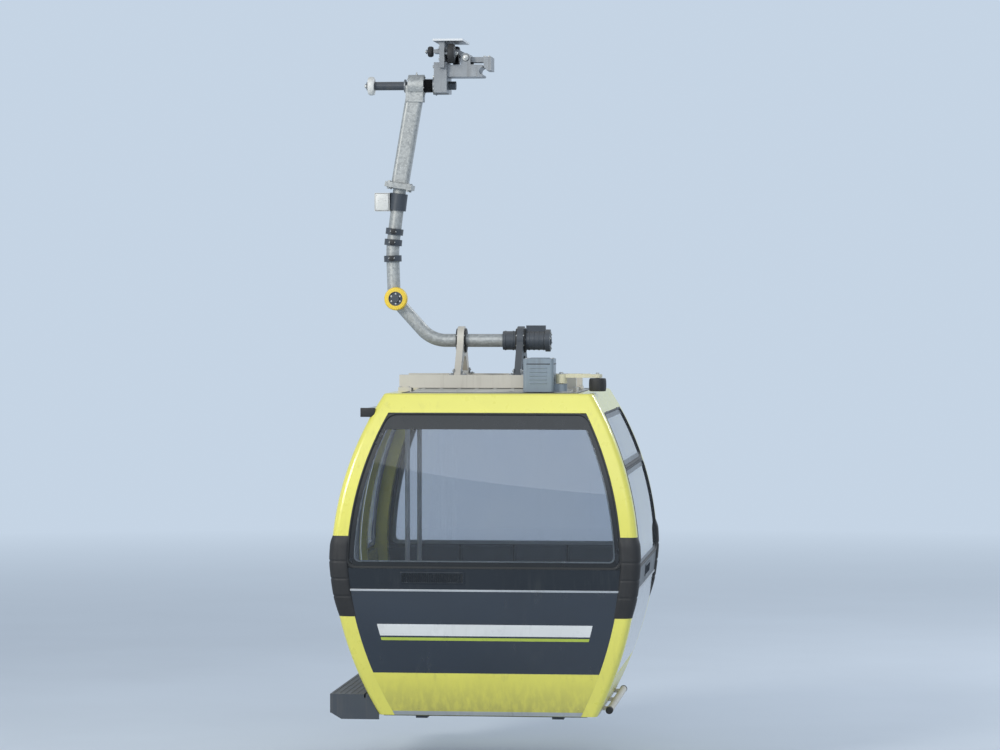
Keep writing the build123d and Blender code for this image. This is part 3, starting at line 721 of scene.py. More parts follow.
# Strip lying on a wall: limits along it at a height, between two heights and two depths
def wallStrip(wall, low, high, limit, outer, inner, finish, rows=6, soft=0.0):
    loops = []
    for j in range(rows + 1):
        z = low + (high - low) * j / rows
        left, right = limit(z)
        alongs = (left, (left + right) / 2, right)
        loops.append(
            [walls[wall](a, z, outer) for a in alongs] + [walls[wall](a, z, inner) for a in reversed(alongs)]
        )
    strip = skin(loops, finish, "strip", None if soft else 38)
    return softenEdges(strip, soft, 50) if soft else strip


windowTrim = {
    "radius": 0.055, "fritCorner": 0.004, "fritWidth": 0.046, "paintedShadeHeight": 0.112,
    "gasket": (
        (0.0002, 0.010), (0.0002, -0.0005), (0.003, -0.0030), (0.009, -0.0022), (0.015, 0.0035),
        (0.017, 0.010),
    ),
    "innerFrame": (
        (0.026, 0.0168), (0.054, 0.0168), (0.056, 0.021), (0.052, 0.030), (0.030, 0.032), (0.026, 0.028),
    ),
    "doorFace": -0.028, "doorSeat": -0.038, "doorHeights": (0.760, 1.972), "paintedShadeDepth": (0.0007, 0.0002),
    "ventSeal": (0.003, 0.008, 0.0015, 0.016), "ventSealSoft": 0.0008,
}


def dressWindow(name, wall, low, high, limit, rideOn="carrier", face=0.009, seat=0.0):
    trim = windowTrim
    out, back, wide = face - 0.0005, face + 0.0003, trim["fritWidth"]
    gasket = [(inset, depth + seat) for inset, depth in trim["gasket"]]
    inner = [(inset, depth + face - 0.009) for inset, depth in trim["innerFrame"]]
    for kind, section, finish, slot, outer in (
        (
            "frit_", ((0.0006, out), (wide, out), (wide, back), (0.0006, back)), "frit", "window",
            trim["fritCorner"],
        ),
        ("gasket_", gasket, "gasket", "rubber", None),
        ("innerFrame_", inner, "innerFrame", "bare_aluminium", None),
    ):
        ring = openingRing(wall, low, high, limit, section, trim["radius"], finish, outer)
        ride(kind + name, [ring], slot, rideOn)
    # Dark strip across the top of each end window, just outside the glass: painted shade along the window's
    # top edge, drawn with the near-black frit finish.
    if name.startswith("end"):
        bottom, (outer, inner) = high - trim["paintedShadeHeight"], trim["paintedShadeDepth"]
        band = wallStrip(
            wall, bottom, high - 0.001, fullWidth(wall, 0.002), face - outer, face - inner, "frit",
        )
        ride("shade_" + name, [band], "window")


belt, sill, head = body["vent"], body["railHigh"], body["head"]
for end, way in ends:
    dressWindow("end_" + end, end, sill, head, fullWidth(end))
dressWindow("tower", "tower", sill, belt, fullWidth("tower"))
dressWindow("vent", "tower", belt + body["ventGap"], head, fullWidth("tower"))
for end, way in ends:
    dressWindow("quarter_" + end, "door", sill, head, besideDoors(way))
    leaf = between(*(way * along for along in body["leaf"]))
    face, seat = windowTrim["doorFace"], windowTrim["doorSeat"]
    dressWindow("door_" + end, "door", *windowTrim["doorHeights"], leaf, "door_" + end, face, seat)
insideTower = lambda z: tuple(side * 0.998 for side in fullWidth("tower")(z))
down, up, outer, inner = windowTrim["ventSeal"]
seal = wallStrip(
    "tower", belt - down, belt + up, insideTower, outer, inner, "gasket", 2, windowTrim["ventSealSoft"],
)
ride("ventSeal", [seal], "rubber")
print("windows dressed")

panelTrim = {
    "beadHeight": 0.014, "beadProud": 0.004, "edgeHeight": 0.030, "edgeProud": 0.003, "depth": 0.004,
    "stripeEnd": 0.14, "stripes": (("whiteStripe", 0.560, 0.640), ("limeStripe", 0.528, 0.548)),
}
look = panelTrim
for wall in ("uphill", "downhill", "tower"):
    ride("trim_" + wall, [
        wallStrip(wall, low, high, fullWidth(wall), -proud, look["depth"], "bare_aluminium", soft=0.0008)
        for low, high, proud in (
            (body["railLow"] - look["beadHeight"], body["railLow"], look["beadProud"]),
            (0.002, look["edgeHeight"], look["edgeProud"]),
        )
    ], "bare_aluminium")
    for finish, low, high in look["stripes"] if wall != "tower" else ():
        stripe = wallStrip(wall, low, high, fullWidth(wall, look["stripeEnd"]), -0.0006, 0.002, finish)
        ride(finish + "_" + wall, [stripe], "yellow_paint")
print("panels trimmed")

# Corner bumpers: a swelling rubber moulding round each post, drawn in at both ends, with three grooves
bumper = {
    "low": 0.690, "high": 1.240, "proud": 0.0135, "round": 0.046, "reach": 0.074, "back": 0.003,
    "grooves": (0.83, 0.95, 1.07), "grooveDepth": 0.0045, "grooveWidth": 0.010, "taperLow": 0.17,
    "taperHigh": 0.07, "rows": 110, "columns": 26,
}


# Point on the corner: first along the end wall, then round the post, then along the side wall
def bumperPoint(signX, signY, share, z, out):
    r = bumper["round"]
    quarter = r * math.pi / 2
    s = share * (2 * bumper["reach"] + quarter) - bumper["reach"]
    side, end = sideAt(z), endAt(z)
    if s < 0:
        x, y = side - r + s, end + out
    elif s > quarter:
        x, y = side + out, end - r - (s - quarter)
    else:
        angle = math.pi / 2 - s / r
        x, y = side - r + (r + out) * math.cos(angle), end - r + (r + out) * math.sin(angle)
    return cabinPoint(signX * x, signY * y, z)


def bumperSwell(z, share):
    look = bumper
    up = min(1, (z - look["low"]) / look["taperLow"])
    down = min(1, (look["high"] - z) / look["taperHigh"])
    rise = math.sin(math.pi / 2 * max(0, up)) * math.sin(math.pi / 2 * max(0, down))
    edge = min(1, 7 * min(share, 1 - share))
    out = look["proud"] * rise * math.sqrt(max(0, 1 - (1 - edge) ** 2))
    for groove in look["grooves"]:
        gap = abs(z - groove) / look["grooveWidth"]
        if gap < 1:
            out -= look["grooveDepth"] * rise * math.cos(gap * math.pi / 2) ** 2
    return max(out, 0.0004)


def cornerBumper(signX, signY):
    look = bumper
    shares = [i / look["columns"] for i in range(look["columns"] + 1)]
    loops = []
    for j in range(look["rows"] + 1):
        z = look["low"] + (look["high"] - look["low"]) * j / look["rows"]
        front = [bumperPoint(signX, signY, share, z, bumperSwell(z, share)) for share in shares]
        loops.append(
            front + [bumperPoint(signX, signY, share, z, -look["back"]) for share in reversed(shares)]
        )
    return skin(loops, "rubber", "strip", 50)


corners = [cornerBumper(signX, signY) for signX in bothWays for signY in bothWays]
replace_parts(ride("cornerBumperMouldings", corners, "rubber"), "corner_bumpers")
print("bumpers made")

# Slats of the air slots in the belt rails
airSlots = {
    "half": 0.205, "height": 0.958, "openHeight": 0.058, "pitch": 0.0125, "border": 0.014, "edge": 0.012,
    "slat": (0.006, 0.005), "slope": 35.0, "centre": {"uphill": -0.35, "downhill": -0.35, "tower": 0.0},
    "surround": (
        (0.0, 0.0010), (0.0, -0.0036), (0.003, -0.0052), (0.009, -0.0052), (0.011, -0.0036), (0.011, 0.0010),
    ),
}


def slatBar(tree, given):
    bar = add(
        tree, "GeometryNodeMeshCube",
        {"Size": combined(tree, given["Width"], given["Height"], given["Depth"])},
    )
    slope = (0, math.radians(airSlots["slope"]), 0)
    return add(tree, "GeometryNodeTransform", {"Geometry": bar, "Rotation": slope})


slatTree = repeatTree("airSlats", {"Width": 0.006, "Depth": 0.005, "Height": 0.036}, slatBar)
look = airSlots
width, depth = look["slat"]
for wall, centre in look["centre"].items():
    count = int(2 * look["half"] / look["pitch"])
    alongs = [centre - look["half"] + (i + 0.5) * look["pitch"] for i in range(count)]
    slats = repeated([[wallFrame(wall, along, look["height"], -0.0012)] for along in alongs], slatTree,
                     {"Width": width, "Depth": depth, "Height": look["openHeight"]}, "belt_rail")
    half, tall = look["half"] + look["border"], look["openHeight"] / 2 + look["edge"]
    edge, low, high = between(centre - half, centre + half), look["height"] - tall, look["height"] + tall
    surround = openingRing(wall, low, high, edge, look["surround"], 0.012, "belt_rail")
    # Near-black sheet on the wall behind the slats: painted shade for the dark inside of the slot.
    paintedSlotShade = wallStrip(wall, low + 0.008, high - 0.008, edge, -0.0006, 0.002, "frit")
    ride("airSlot_" + wall, [slats, surround, paintedSlotShade], "belt_rail")


# Rivets along the skirts: low rounded heads, a few dozen faces each
def ballShape(segments, rings, stretch):
    def shape(tree, given):
        ball = add(
            tree, "GeometryNodeMeshUVSphere",
            {"Segments": segments, "Rings": rings, "Radius": given["Radius"]},
        )
        return add(tree, "GeometryNodeTransform", {"Geometry": ball, "Scale": stretch})
    return shape


rivetTree = repeatTree("rivetRow", {"Radius": 0.006}, ballShape(10, 6, (1, 1, 0.45)), along=True)
rivets = {"radius": 0.0055, "spacing": 0.145, "heights": (0.272, 0.052), "postGap": 0.040}
for wall in ("uphill", "downhill", "tower"):
    rows = []
    for z in rivets["heights"]:
        left, right = fullWidth(wall, rivets["postGap"])(z)
        rows.append([wallFrame(wall, left + (right - left) * i / 20, z) for i in range(21)])
    heads = repeated(
        rows, rivetTree, {"Radius": rivets["radius"], "Spacing": rivets["spacing"]}, "yellow_skirt",
    )
    ride("skirtRivets_" + wall, [heads], "yellow_skirt")
print("slats and rivets set")


# Lifts a shape along Z
def raised(tree, shape, height):
    return add(tree, "GeometryNodeTransform", {"Geometry": shape, "Translation": combined(tree, z=height)})


# Hexagon bolt head with its crown and washer, standing on a face
def boltHead(tree, given):
    def part(value, factor):
        return scaled(tree, given[value], factor)

    head = add(
        tree, "GeometryNodeMeshCylinder",
        {"Vertices": 6, "Radius": given["Radius"], "Depth": given["Height"]},
    )
    crown = add(tree, "GeometryNodeMeshCone", {
        "Vertices": 12, "Radius Top": part("Radius", 0.62), "Radius Bottom": part("Radius", 0.86),
        "Depth": part("Height", 0.18),
    })
    washer = add(tree, "GeometryNodeMeshCylinder", {
        "Vertices": 18, "Radius": part("Radius", 1.45), "Depth": part("Height", 0.34),
    })
    raisedParts = [raised(tree, head, part("Height", 0.66)), raised(tree, crown, part("Height", 1.14))]
    return add(tree, "GeometryNodeJoinGeometry", {"Geometry": raisedParts + [washer]})


# Disc spring: a cupped washer with its rim
def cuppedWasher(tree, given):
    cup = add(tree, "GeometryNodeMeshCone", {
        "Vertices": 32, "Radius Top": scaled(tree, given["Radius"], 0.52), "Radius Bottom": given["Radius"],
        "Depth": given["Height"],
    })
    rim = add(tree, "GeometryNodeMeshCylinder", {
        "Vertices": 32, "Radius": given["Radius"], "Depth": scaled(tree, given["Height"], 0.34),
    })
    return add(tree, "GeometryNodeJoinGeometry", {"Geometry": [cup, rim]})


# Pressed bead: a half-buried bar with round ends, lying along "side" and standing up along "aim"
def pressedBead(tree, given):
    half = scaled(tree, given["Length"], 0.5)
    tips = [combined(tree, scaled(tree, half, -1.0)), combined(tree, half)]
    line = add(tree, "GeometryNodeCurvePrimitiveLine", {"Start": tips[0], "End": tips[1]})
    outline = add(tree, "GeometryNodeCurvePrimitiveCircle", {"Resolution": 12, "Radius": given["Width"]})
    parts = [
        add(tree, "GeometryNodeCurveToMesh", {"Curve": line, "Profile Curve": outline, "Fill Caps": True})
    ]
    for tip in tips:
        ball = add(tree, "GeometryNodeMeshUVSphere", {"Segments": 12, "Rings": 6, "Radius": given["Width"]})
        parts.append(add(tree, "GeometryNodeTransform", {"Geometry": ball, "Translation": tip}))
    together = add(tree, "GeometryNodeJoinGeometry", {"Geometry": parts})
    flat = combined(tree, 1.0, 1.0, scaled(tree, given["Height"], given["Width"], "DIVIDE"))
    return add(tree, "GeometryNodeTransform", {"Geometry": together, "Scale": flat})


def stud(tree, given):
    return add(tree, "GeometryNodeMeshCone", {
        "Vertices": 10, "Radius Top": scaled(tree, given["Radius"], 0.55), "Radius Bottom": given["Radius"],
        "Depth": scaled(tree, given["Radius"], 0.5),
    })


boltTree = repeatTree("hexBolts", {"Radius": 0.010, "Height": 0.009}, boltHead)
washerTree = repeatTree("discSprings", {"Radius": 0.027, "Height": 0.006}, cuppedWasher)
beadTree = repeatTree("pressedBeads", {"Length": 0.2, "Width": 0.012, "Height": 0.004}, pressedBead)
weldTree = repeatTree("weldRipples", {"Radius": 0.006}, ballShape(10, 6, (1.0, 1.15, 0.8)), along=True)
treadTree = repeatTree("floorTreads", {"Radius": 0.0055}, ballShape(8, 5, (3.2, 1.0, 0.35)))
studTree = repeatTree("stepStuds", {"Radius": 0.0065}, stud)


# Bolts at the places, all facing one way, each head turned a little differently, the same on every run
def bolts(places, aim, radius, height=None, seed=4):
    chance = random.Random(seed)
    aim = Vector(aim)
    start = aim.orthogonal().normalized()
    rows = []
    for place in places:
        angle = chance.uniform(0, math.pi / 3)
        rows.append([(Vector(place), aim, start * math.cos(angle) + aim.cross(start) * math.sin(angle))])
    return repeated(rows, boltTree, {"Radius": radius, "Height": height or radius * 0.8}, "zincBolt")


# Beads at the places, facing aim and lying along side, each (length, width, height)
def beads(places, aim, side, size, finish):
    rows = [[(Vector(place), Vector(aim), Vector(side))] for place in places]
    return repeated(rows, beadTree, dict(zip(("Length", "Width", "Height"), size)), finish)


# Welds: overlapping ripples along each seam
def welds(seams, radius, finish):
    rows = []
    for points in seams:
        row = []
        for i, point in enumerate(points):
            ahead = (points[min(i + 1, len(points) - 1)] - points[max(i - 1, 0)]).normalized()
            row.append((point, ahead, ahead.orthogonal().normalized()))
        rows.append(row)
    return repeated(rows, weldTree, {"Radius": radius, "Spacing": radius * 0.8}, finish)


# Rollers and wheels: tyre and hub, each with its bolts, in place of the plain discs
rollers = {
    "runningWheel_uphill": {
        "radius": 0.070, "half": 0.023, "bore": 0.0145, "hub": 0.044, "middle": (-0.215, -0.150, 0.120),
        "axis": axisX, "node": "running_wheel_uphill", "finishes": ("rubber", "grip_steel"), "bolts": 6,
    },
    "runningWheel_downhill": {
        "radius": 0.070, "half": 0.023, "bore": 0.0145, "hub": 0.044, "middle": (-0.215, 0.150, 0.120),
        "axis": axisX, "node": "running_wheel_downhill", "finishes": ("rubber", "grip_steel"), "bolts": 6,
    },
    "elbowRoller": {
        "radius": 0.082, "half": 0.030, "bore": 0.0143, "hub": 0.050, "middle": (-0.616, -0.084, -1.594),
        "axis": axisY, "node": "elbow_roller", "finishes": ("yellow_roller", "dark_steel"), "bolts": 6,
    },
    "guideRoller": {
        "radius": 0.066, "half": 0.023, "bore": 0.0205, "hub": 0.040, "middle": (-0.800, 0.0, -0.096),
        "axis": axisX, "node": "guide_roller", "finishes": ("white_plastic", "zincBolt"), "bolts": 5,
    },
    "pusherRoller": {
        "radius": 0.038, "half": 0.019, "bore": 0.0102, "hub": 0.022, "middle": (-0.380, 0.0, 0.143),
        "axis": axisX, "node": "pusher_roller", "finishes": ("rubber", "grip_steel"), "bolts": 0,
    },
    "doorRoller": {
        "radius": 0.060, "half": 0.045, "bore": 0.0152, "hub": 0.034, "middle": (0.840, -0.530, -2.184),
        "axis": axisZ, "node": "door_roller", "finishes": ("rubber", "zincBolt"), "bolts": 5,
    },
}


def tyreOutline(look, crown=0.003):
    r, half = look["radius"], look["half"]
    soft = min(0.008, half * 0.35)
    outline = [(-half, look["hub"]), (-half, r - soft - crown)]
    shoulder = []
    for i in range(6):
        angle = math.pi / 2 * i / 5
        shoulder.append((-half + soft - soft * math.cos(angle), r - crown - soft + soft * math.sin(angle)))
    for i in range(1, 8):
        along = -half + soft + (2 * half - 2 * soft) * i / 8
        shoulder.append((along, r - crown * (along / half) ** 2))
    outline += shoulder + [(-along, radius) for along, radius in reversed(shoulder[:6])]
    return outline + [(half, look["hub"])]


def hubOutline(look):
    half, hub, bore = look["half"], look["hub"], look["bore"]
    dip = half * 0.28
    outline = [
        (-half + 0.001, bore), (-half + 0.001, bore * 1.55), (-half + dip, bore * 1.75),
        (-half + dip, hub - 0.006), (-half + 0.0006, hub - 0.003), (-half + 0.0006, hub + 0.0004),
    ]
    return outline + [(-along, radius) for along, radius in reversed(outline)]


for name, look in rollers.items():
    axis, (tyreFinish, hubFinish) = look["axis"], look["finishes"]
    parts = [
        turned(tyreOutline(look), look["middle"], axis, tyreFinish),
        turned(hubOutline(look), look["middle"], axis, hubFinish),
    ]
    ring = (look["bore"] * 1.75 + look["hub"] - 0.006) / 2
    for way in (1, -1) if look["bolts"] else ():
        face = Vector(look["middle"]) + axis * way * (look["half"] * 0.72)
        parts.append(bolts(circle(face, axis, ring, look["bolts"], 0.25), axis * way, look["hub"] * 0.085))
    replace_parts(ride(name, parts, tyreFinish, look["node"]), look["node"])
print("rollers and wheels turned")

# Disc springs under the clamp lever: cupped washers, every second one turned over
springs = {
    "x": -0.290, "y": 0.040, "low": 0.0606, "high": 0.1296, "count": 10, "radius": 0.027, "gap": 0.0004,
    "pressed": 0.37,
}
look = springs
pitch = (look["high"] - look["low"]) / look["count"]
rows = []
for way in bothWays:
    for i in range(look["count"]):
        base = look["low"] + i * pitch + (look["gap"] if i % 2 else pitch - look["gap"])
        rows.append([(Vector((look["x"], way * look["y"], base)), axisZ if i % 2 else -axisZ, axisX)])
sizes = {"Radius": look["radius"], "Height": pitch - 2 * look["gap"]}
washers = repeated(rows, washerTree, sizes, "spring_steel")
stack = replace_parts(ride("discSpringStacks", [washers], "spring_steel", "grip"), "clamp_springs")
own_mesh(stack)
print("springs stacked")

# Moulded seats: a dished shell with a rolled front edge, side bolsters and three flutes across the back
seat = {
    "line": ((0.4475, 0.4150), (0.470, 0.4290), (0.857, 0.4275), (0.9585, 1.0480)),
    "rounding": (0.018, 0.120), "thick": 0.0185, "dish": 0.013, "bolster": 0.006, "fluteDepth": 0.003,
    "fluteHeights": (0.66, 0.76, 0.86), "fluteHalf": 0.014, "fluteReach": 0.7, "count": 4, "gap": 0.012,
    "columns": 28,
}


# Line with each inner corner replaced by a smooth bend, in even steps
def roundedLine(corners, roundings, spacing=0.012):
    dense = [Vector(corners[0])]
    for before, corner, after, rounding in zip(corners, corners[1:], corners[2:], roundings):
        here = Vector(corner)
        back, on = ((Vector(other) - here).normalized() * rounding for other in (before, after))
        for k in range(17):
            t = k / 16
            dense.append((here + back) * (1 - t) ** 2 + here * 2 * t * (1 - t) + (here + on) * t ** 2)
    dense.append(Vector(corners[-1]))
    lengths = [0.0]
    for a, b in zip(dense, dense[1:]):
        lengths.append(lengths[-1] + (b - a).length)
    count = max(2, round(lengths[-1] / spacing))
    result, k = [], 0
    for i in range(count + 1):
        goal = lengths[-1] * i / count
        while k < len(dense) - 2 and lengths[k + 1] < goal:
            k += 1
        span = lengths[k + 1] - lengths[k] or 1
        result.append(dense[k].lerp(dense[k + 1], (goal - lengths[k]) / span))
    return result


def seatShell(middleX, width, way):
    look = seat
    line = roundedLine(look["line"], look["rounding"])
    last = len(line) - 1
    loops = []
    for c in range(look["columns"] + 1):
        u = -1 + 2 * c / look["columns"]
        edge = max(0.0, (abs(u) - 0.90) / 0.10)
        thin = math.sqrt(max(0.0, 1 - edge ** 2)) * 0.92 + 0.08
        front, rear = [], []
        for i, place in enumerate(line):
            ahead = line[min(i + 1, last)] - line[max(i - 1, 0)]
            normal = Vector((-ahead[1], ahead[0])).normalized()
            share = i / last
            ending = math.sqrt(max(0.0, 1 - max(0.0, abs(share - 0.5) * 2 - 0.97) ** 2 / 0.0009)) * 0.9 + 0.1
            half = look["thick"] * thin * ending
            push = -look["dish"] * max(0.0, 1 - (u / 0.82) ** 2) * math.sin(math.pi * share) ** 0.5
            push += look["bolster"] * math.exp(-((abs(u) - 0.86) / 0.10) ** 2) * math.sin(math.pi * share)
            for height in look["fluteHeights"]:
                gap, inside = abs(place[1] - height) / look["fluteHalf"], look["fluteReach"] - abs(u)
                if gap < 1 and inside > 0 and share > 0.4:
                    push -= look["fluteDepth"] * math.cos(gap * math.pi / 2) ** 2 * min(1, inside * 8)
            front.append(place + normal * (half + push * (0.4 + 0.6 * thin)))
            rear.append(place - normal * half)
        loops.append([cabinPoint(middleX + u * width / 2, way * p[0], p[1]) for p in front + rear[::-1]])
    return skin(loops, "seat_shell", "strip", 60)


look = seat
for end, way in ends:
    low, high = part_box("seats_" + end)
    half = (high.x - low.x) / 2
    width = (2 * half - (look["count"] - 1) * look["gap"]) / look["count"]
    shells = [
        seatShell(-half + width / 2 + i * (width + look["gap"]), width, way) for i in range(look["count"])
    ]
    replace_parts(ride("mouldedSeats_" + end, shells, "seat_shell"), "seats_" + end)
print("seats moulded")

# Roof skin: pressed ribs either side of the frame, a sealed joint round its edge and a low vent
roofSkin = {
    "edge": (0.603, 0.678), "capHalf": 0.543, "crown": 0.026, "slopeRadius": 8.0,
    "ribs": 9, "ribSize": (0.015, 0.0036), "outerRib": (0.332, 0.604), "innerHalf": 0.170, "ribSink": 0.0006,
    "bracketGap": 0.055, "ventGap": 0.16, "seal": (0.007, 0.0035), "vent": (-0.400, 0.470),
    "ventRadius": 0.070, "ventHeight": 0.030, "ventScrew": 0.0035,
}
bracketSpots = (-0.270, 0.150)


def domeAt(y):
    look = roofSkin
    radius = (look["edge"][1] ** 2 + look["crown"] ** 2) / (2 * look["crown"])
    return body["height"] + look["crown"] - radius + math.sqrt(radius ** 2 - y ** 2)


look = roofSkin
near, far = look["outerRib"]
middle = (near + far) / 2
outerRows, innerRows = [], []
for i in range(look["ribs"]):
    x = look["capHalf"] * 0.92 * (-1 + 2 * i / (look["ribs"] - 1))
    for way in bothWays:
        y = way * middle
        slope = -y / math.sqrt(look["slopeRadius"] ** 2 - middle ** 2)
        if way < 0 or math.dist((x, y), look["vent"]) > look["ventGap"]:
            aim, side = Vector((0, -slope, 1)).normalized(), Vector((0, 1, slope)).normalized()
            outerRows.append([(cabinPoint(x, y, domeAt(y) - look["ribSink"]), aim, side)])
    if min(abs(x - spot) for spot in bracketSpots) > look["bracketGap"]:
        innerRows.append([(cabinPoint(x, 0, domeAt(0.10) - 0.0004), axisZ, axisY)])
parts = []
for rows, length in ((outerRows, far - near), (innerRows, 2 * look["innerHalf"])):
    size = dict(zip(("Length", "Width", "Height"), (length, *look["ribSize"])))
    parts.append(repeated(rows, beadTree, size, "roof_skin"))
ride("roofRibs", parts, "roof_skin")
edgeX, edgeY = look["edge"]
top = body["height"]
ride("roofSeal", [
    beads(
        [cabinPoint(x, 0, top) for x in (-edgeX, edgeX)], axisZ, axisY, (2 * edgeY, *look["seal"]), "gasket",
    ),
    beads(
        [cabinPoint(0, y, top) for y in (-edgeY, edgeY)], axisZ, axisX, (2 * edgeX, *look["seal"]), "gasket",
    ),
], "rubber")
r, tall = look["ventRadius"], look["ventHeight"]
outline = [
    (-0.004, r * 1.12), (0.004, r * 1.10), (0.006, r * 0.92), (tall * 0.45, r * 0.90),
    (tall * 0.50, r * 1.06), (tall * 0.60, r * 1.10), (tall * 0.80, r * 0.98), (tall * 0.94, r * 0.66),
    (tall, r * 0.22), (tall, 0.0005),
]
foot = cabinPoint(*look["vent"], domeAt(look["vent"][1]))
ride("roofVent", [
    turned(outline, foot, axisZ, "white_plastic", 48, ending="flat"),
    bolts(circle(foot + axisZ * look["ventScrew"], axisZ, r * 1.01, 6), axisZ, look["ventScrew"]),
], "white_plastic")
print("roof skin dressed")

# Roof frame: bolts on its pads, cleats and clamp bolts at the brackets, a welded seam where the beams cross
roofFrame = {
    "padX": (-0.635, 0.520), "padY": 0.250, "padBoltX": 0.030, "padBoltY": 0.050, "padTop": 2.230,
    "padBolt": 0.0062, "beamTop": 2.316, "bracketHalf": 0.023, "cleat": (0.036, 0.058, 0.007, 0.042),
    "cleatBolt": 0.00585, "cleatBoltX": 0.022, "cleatBoltY": 0.015, "eyeZ": 2.553, "eyeRadius": 0.0918,
    "eyeBolts": 8, "eyeBolt": 0.0052, "seamX": 0.0352, "seamY": 0.2098, "seam": (2.228, 0.087),
    "seamRadius": 0.0045,
}
look = roofFrame
spots = [
    cabinPoint(x + dx * look["padBoltX"], way * look["padY"] + dy * look["padBoltY"], look["padTop"])
    for x in look["padX"] for way in bothWays for dx in bothWays for dy in bothWays
]
ride("padBolts", [bolts(spots, axisZ, look["padBolt"])], "bare_aluminium")
wide, long, thick, tall = look["cleat"]
top = look["beamTop"]
cleats, eyes, seams, upSpots, outSpots = [], [], [], [], {-1: [], 1: []}
for spot in bracketSpots:
    for face in bothWays:
        x0 = spot + face * look["bracketHalf"]
        for way in bothWays:
            y = way * look["padY"]
            for reach, high in ((wide, thick), (thick, tall)):
                x1, x2 = sorted((x0, x0 + face * reach))
                low, high = cabinPoint(x1, y - long / 2, top), cabinPoint(x2, y + long / 2, top + high)
                cleats.append(box(low, high, "grip_steel", 0.0015))
            for dy in (-look["cleatBoltY"], look["cleatBoltY"]):
                upSpots.append(cabinPoint(x0 + face * look["cleatBoltX"], y + dy, top + thick))
                outSpots[face].append(cabinPoint(x0 + face * thick, y + dy, top + tall * 0.66))
            x, y = spot + face * look["seamX"], way * look["seamY"]
            seams.append([cabinPoint(x, y, look["seam"][0] + look["seam"][1] * i / 12) for i in range(13)])
        spots = circle(cabinPoint(x0, 0, look["eyeZ"]), axisX, look["eyeRadius"], look["eyeBolts"], 0.5)
        eyes.append(bolts(spots, axisX * face, look["eyeBolt"]))
for spots, aim in ((upSpots, axisZ), (outSpots[1], axisX), (outSpots[-1], -axisX)):
    cleats.append(bolts(spots, aim, look["cleatBolt"]))
ride("bracketCleats", cleats, "dark_steel")
ride("eyeBolts", eyes, "dark_steel")
ride("frameWelds", [welds(seams, look["seamRadius"], "pale_frame")], "pale_frame")
print("roof frame bolted")

# Hanger: bolted flange, welded joints, split clamps with ears, and the lid of the box
hanger = {
    "flange": (-0.600, 0.0, -0.800), "lean": (0.16686, 0.0, 0.98598), "flangeThick": 0.018,
    "flangeBolt": 0.0100, "boltReach": 0.070, "lowerRadius": 0.046, "upperHalf": (0.060, 0.050),
    "weld": 0.0055, "collarRadius": 0.062,
    "collars": (
        (-0.6374, -1.1211, 0.1223, 0.9925), (-0.6455, -1.1972, 0.0575, 0.9983), (-0.6496, -1.3090, 0.0, 1.0),
    ),
    "ear": (0.017, 0.018, 0.034), "earBolt": 0.0052, "boxFront": -0.052, "boxMiddle": (-0.720, -0.913),
    "boxHalf": (0.047, 0.058), "lidThick": 0.005, "lidInset": 0.009, "lidScrew": 0.0030,
    "lidRib": (0.052, 0.003, 0.0018), "lidRibPitch": 0.012, "headX": (-0.535, -0.425),
    "pivot": -0.096, "neckX": -0.551, "sleeve": (-0.424, -0.361), "sleeveFolds": 9, "bossRadius": 0.040,
    "foldDepth": 0.010, "pinRadius": 0.0306, "headBolt": 0.0060, "headRing": 0.062,
}
look = hanger
lean = Vector(look["lean"])
across = axisY.cross(lean).normalized()
middle = Vector(look["flange"])
half = lean * look["flangeThick"]
corners = [across * a * look["boltReach"] + axisY * b * look["boltReach"] for a in bothWays for b in bothWays]
ride("flangeBolts", [
    bolts([middle + half + corner for corner in corners], lean, look["flangeBolt"]),
    bolts([middle - half + corner for corner in corners], -lean, look["flangeBolt"], 0.011, seed=9),
], "hanger_grey")
upperLoop = []
for i in range(49):
    angle = 2 * math.pi * i / 48
    flat = [math.copysign(abs(turn) ** 0.45, turn) for turn in (math.cos(angle), math.sin(angle))]
    foot = middle + half + lean * 0.002
    upperLoop.append(foot + across * look["upperHalf"][0] * flat[0] + axisY * look["upperHalf"][1] * flat[1])
lowerLoop = circle(middle - half - lean * 0.002, lean, look["lowerRadius"] + 0.001, 40)
ride(
    "hangerWelds", [welds([upperLoop, lowerLoop + lowerLoop[:1]], look["weld"], "hanger_grey")],
    "hanger_grey",
)
deep, wide, tall = look["ear"]
parts = []
for x, z, leanX, leanZ in look["collars"]:
    along = Vector((leanX, 0, leanZ)).normalized()
    across = axisY.cross(along).normalized()
    for way in bothWays:
        ear = box((-deep, 0, -tall / 2), (deep, wide, tall / 2), "rubber", 0.003)
        at = Vector((x, way * (look["collarRadius"] - 0.004), z))
        for point in ear.data.vertices:
            point.co = at + across * point.co.x + axisY * way * point.co.y + along * way * point.co.z
        parts.append(ear)
        for face in bothWays:
            spot = at + axisY * way * 0.011 + across * face * deep
            parts.append(bolts([spot], across * face, look["earBolt"]))
ride("collarEars", parts, "rubber")
front, (cx, cz), (halfX, halfZ) = look["boxFront"], look["boxMiddle"], look["boxHalf"]
plates = []
for more, out, back, finish, soft in (
    (0.0, look["lidThick"], 0.002, "white_plastic", 0.002), (0.0025, 0.0015, 0.001, "gasket", 0.0006),
):
    low = (cx - halfX - more, front - out, cz - halfZ - more)
    high = (cx + halfX + more, front + back, cz + halfZ + more)
    plates.append(box(low, high, finish, soft))
insideX, insideZ, face = halfX - look["lidInset"], halfZ - look["lidInset"], front - look["lidThick"]
screws = [Vector((cx + u * insideX, face, cz + v * insideZ)) for u in bothWays for v in bothWays]
ribs = [Vector((cx, face, cz + look["lidRibPitch"] * k)) for k in (-2, -1, 0, 1, 2)]
ride("hangerBoxLid", plates + [
    bolts(screws, -axisY, look["lidScrew"]), beads(ribs, -axisY, axisX, look["lidRib"], "white_plastic"),
], "white_plastic")
(start, end), folds = look["sleeve"], look["sleeveFolds"]
outline = []
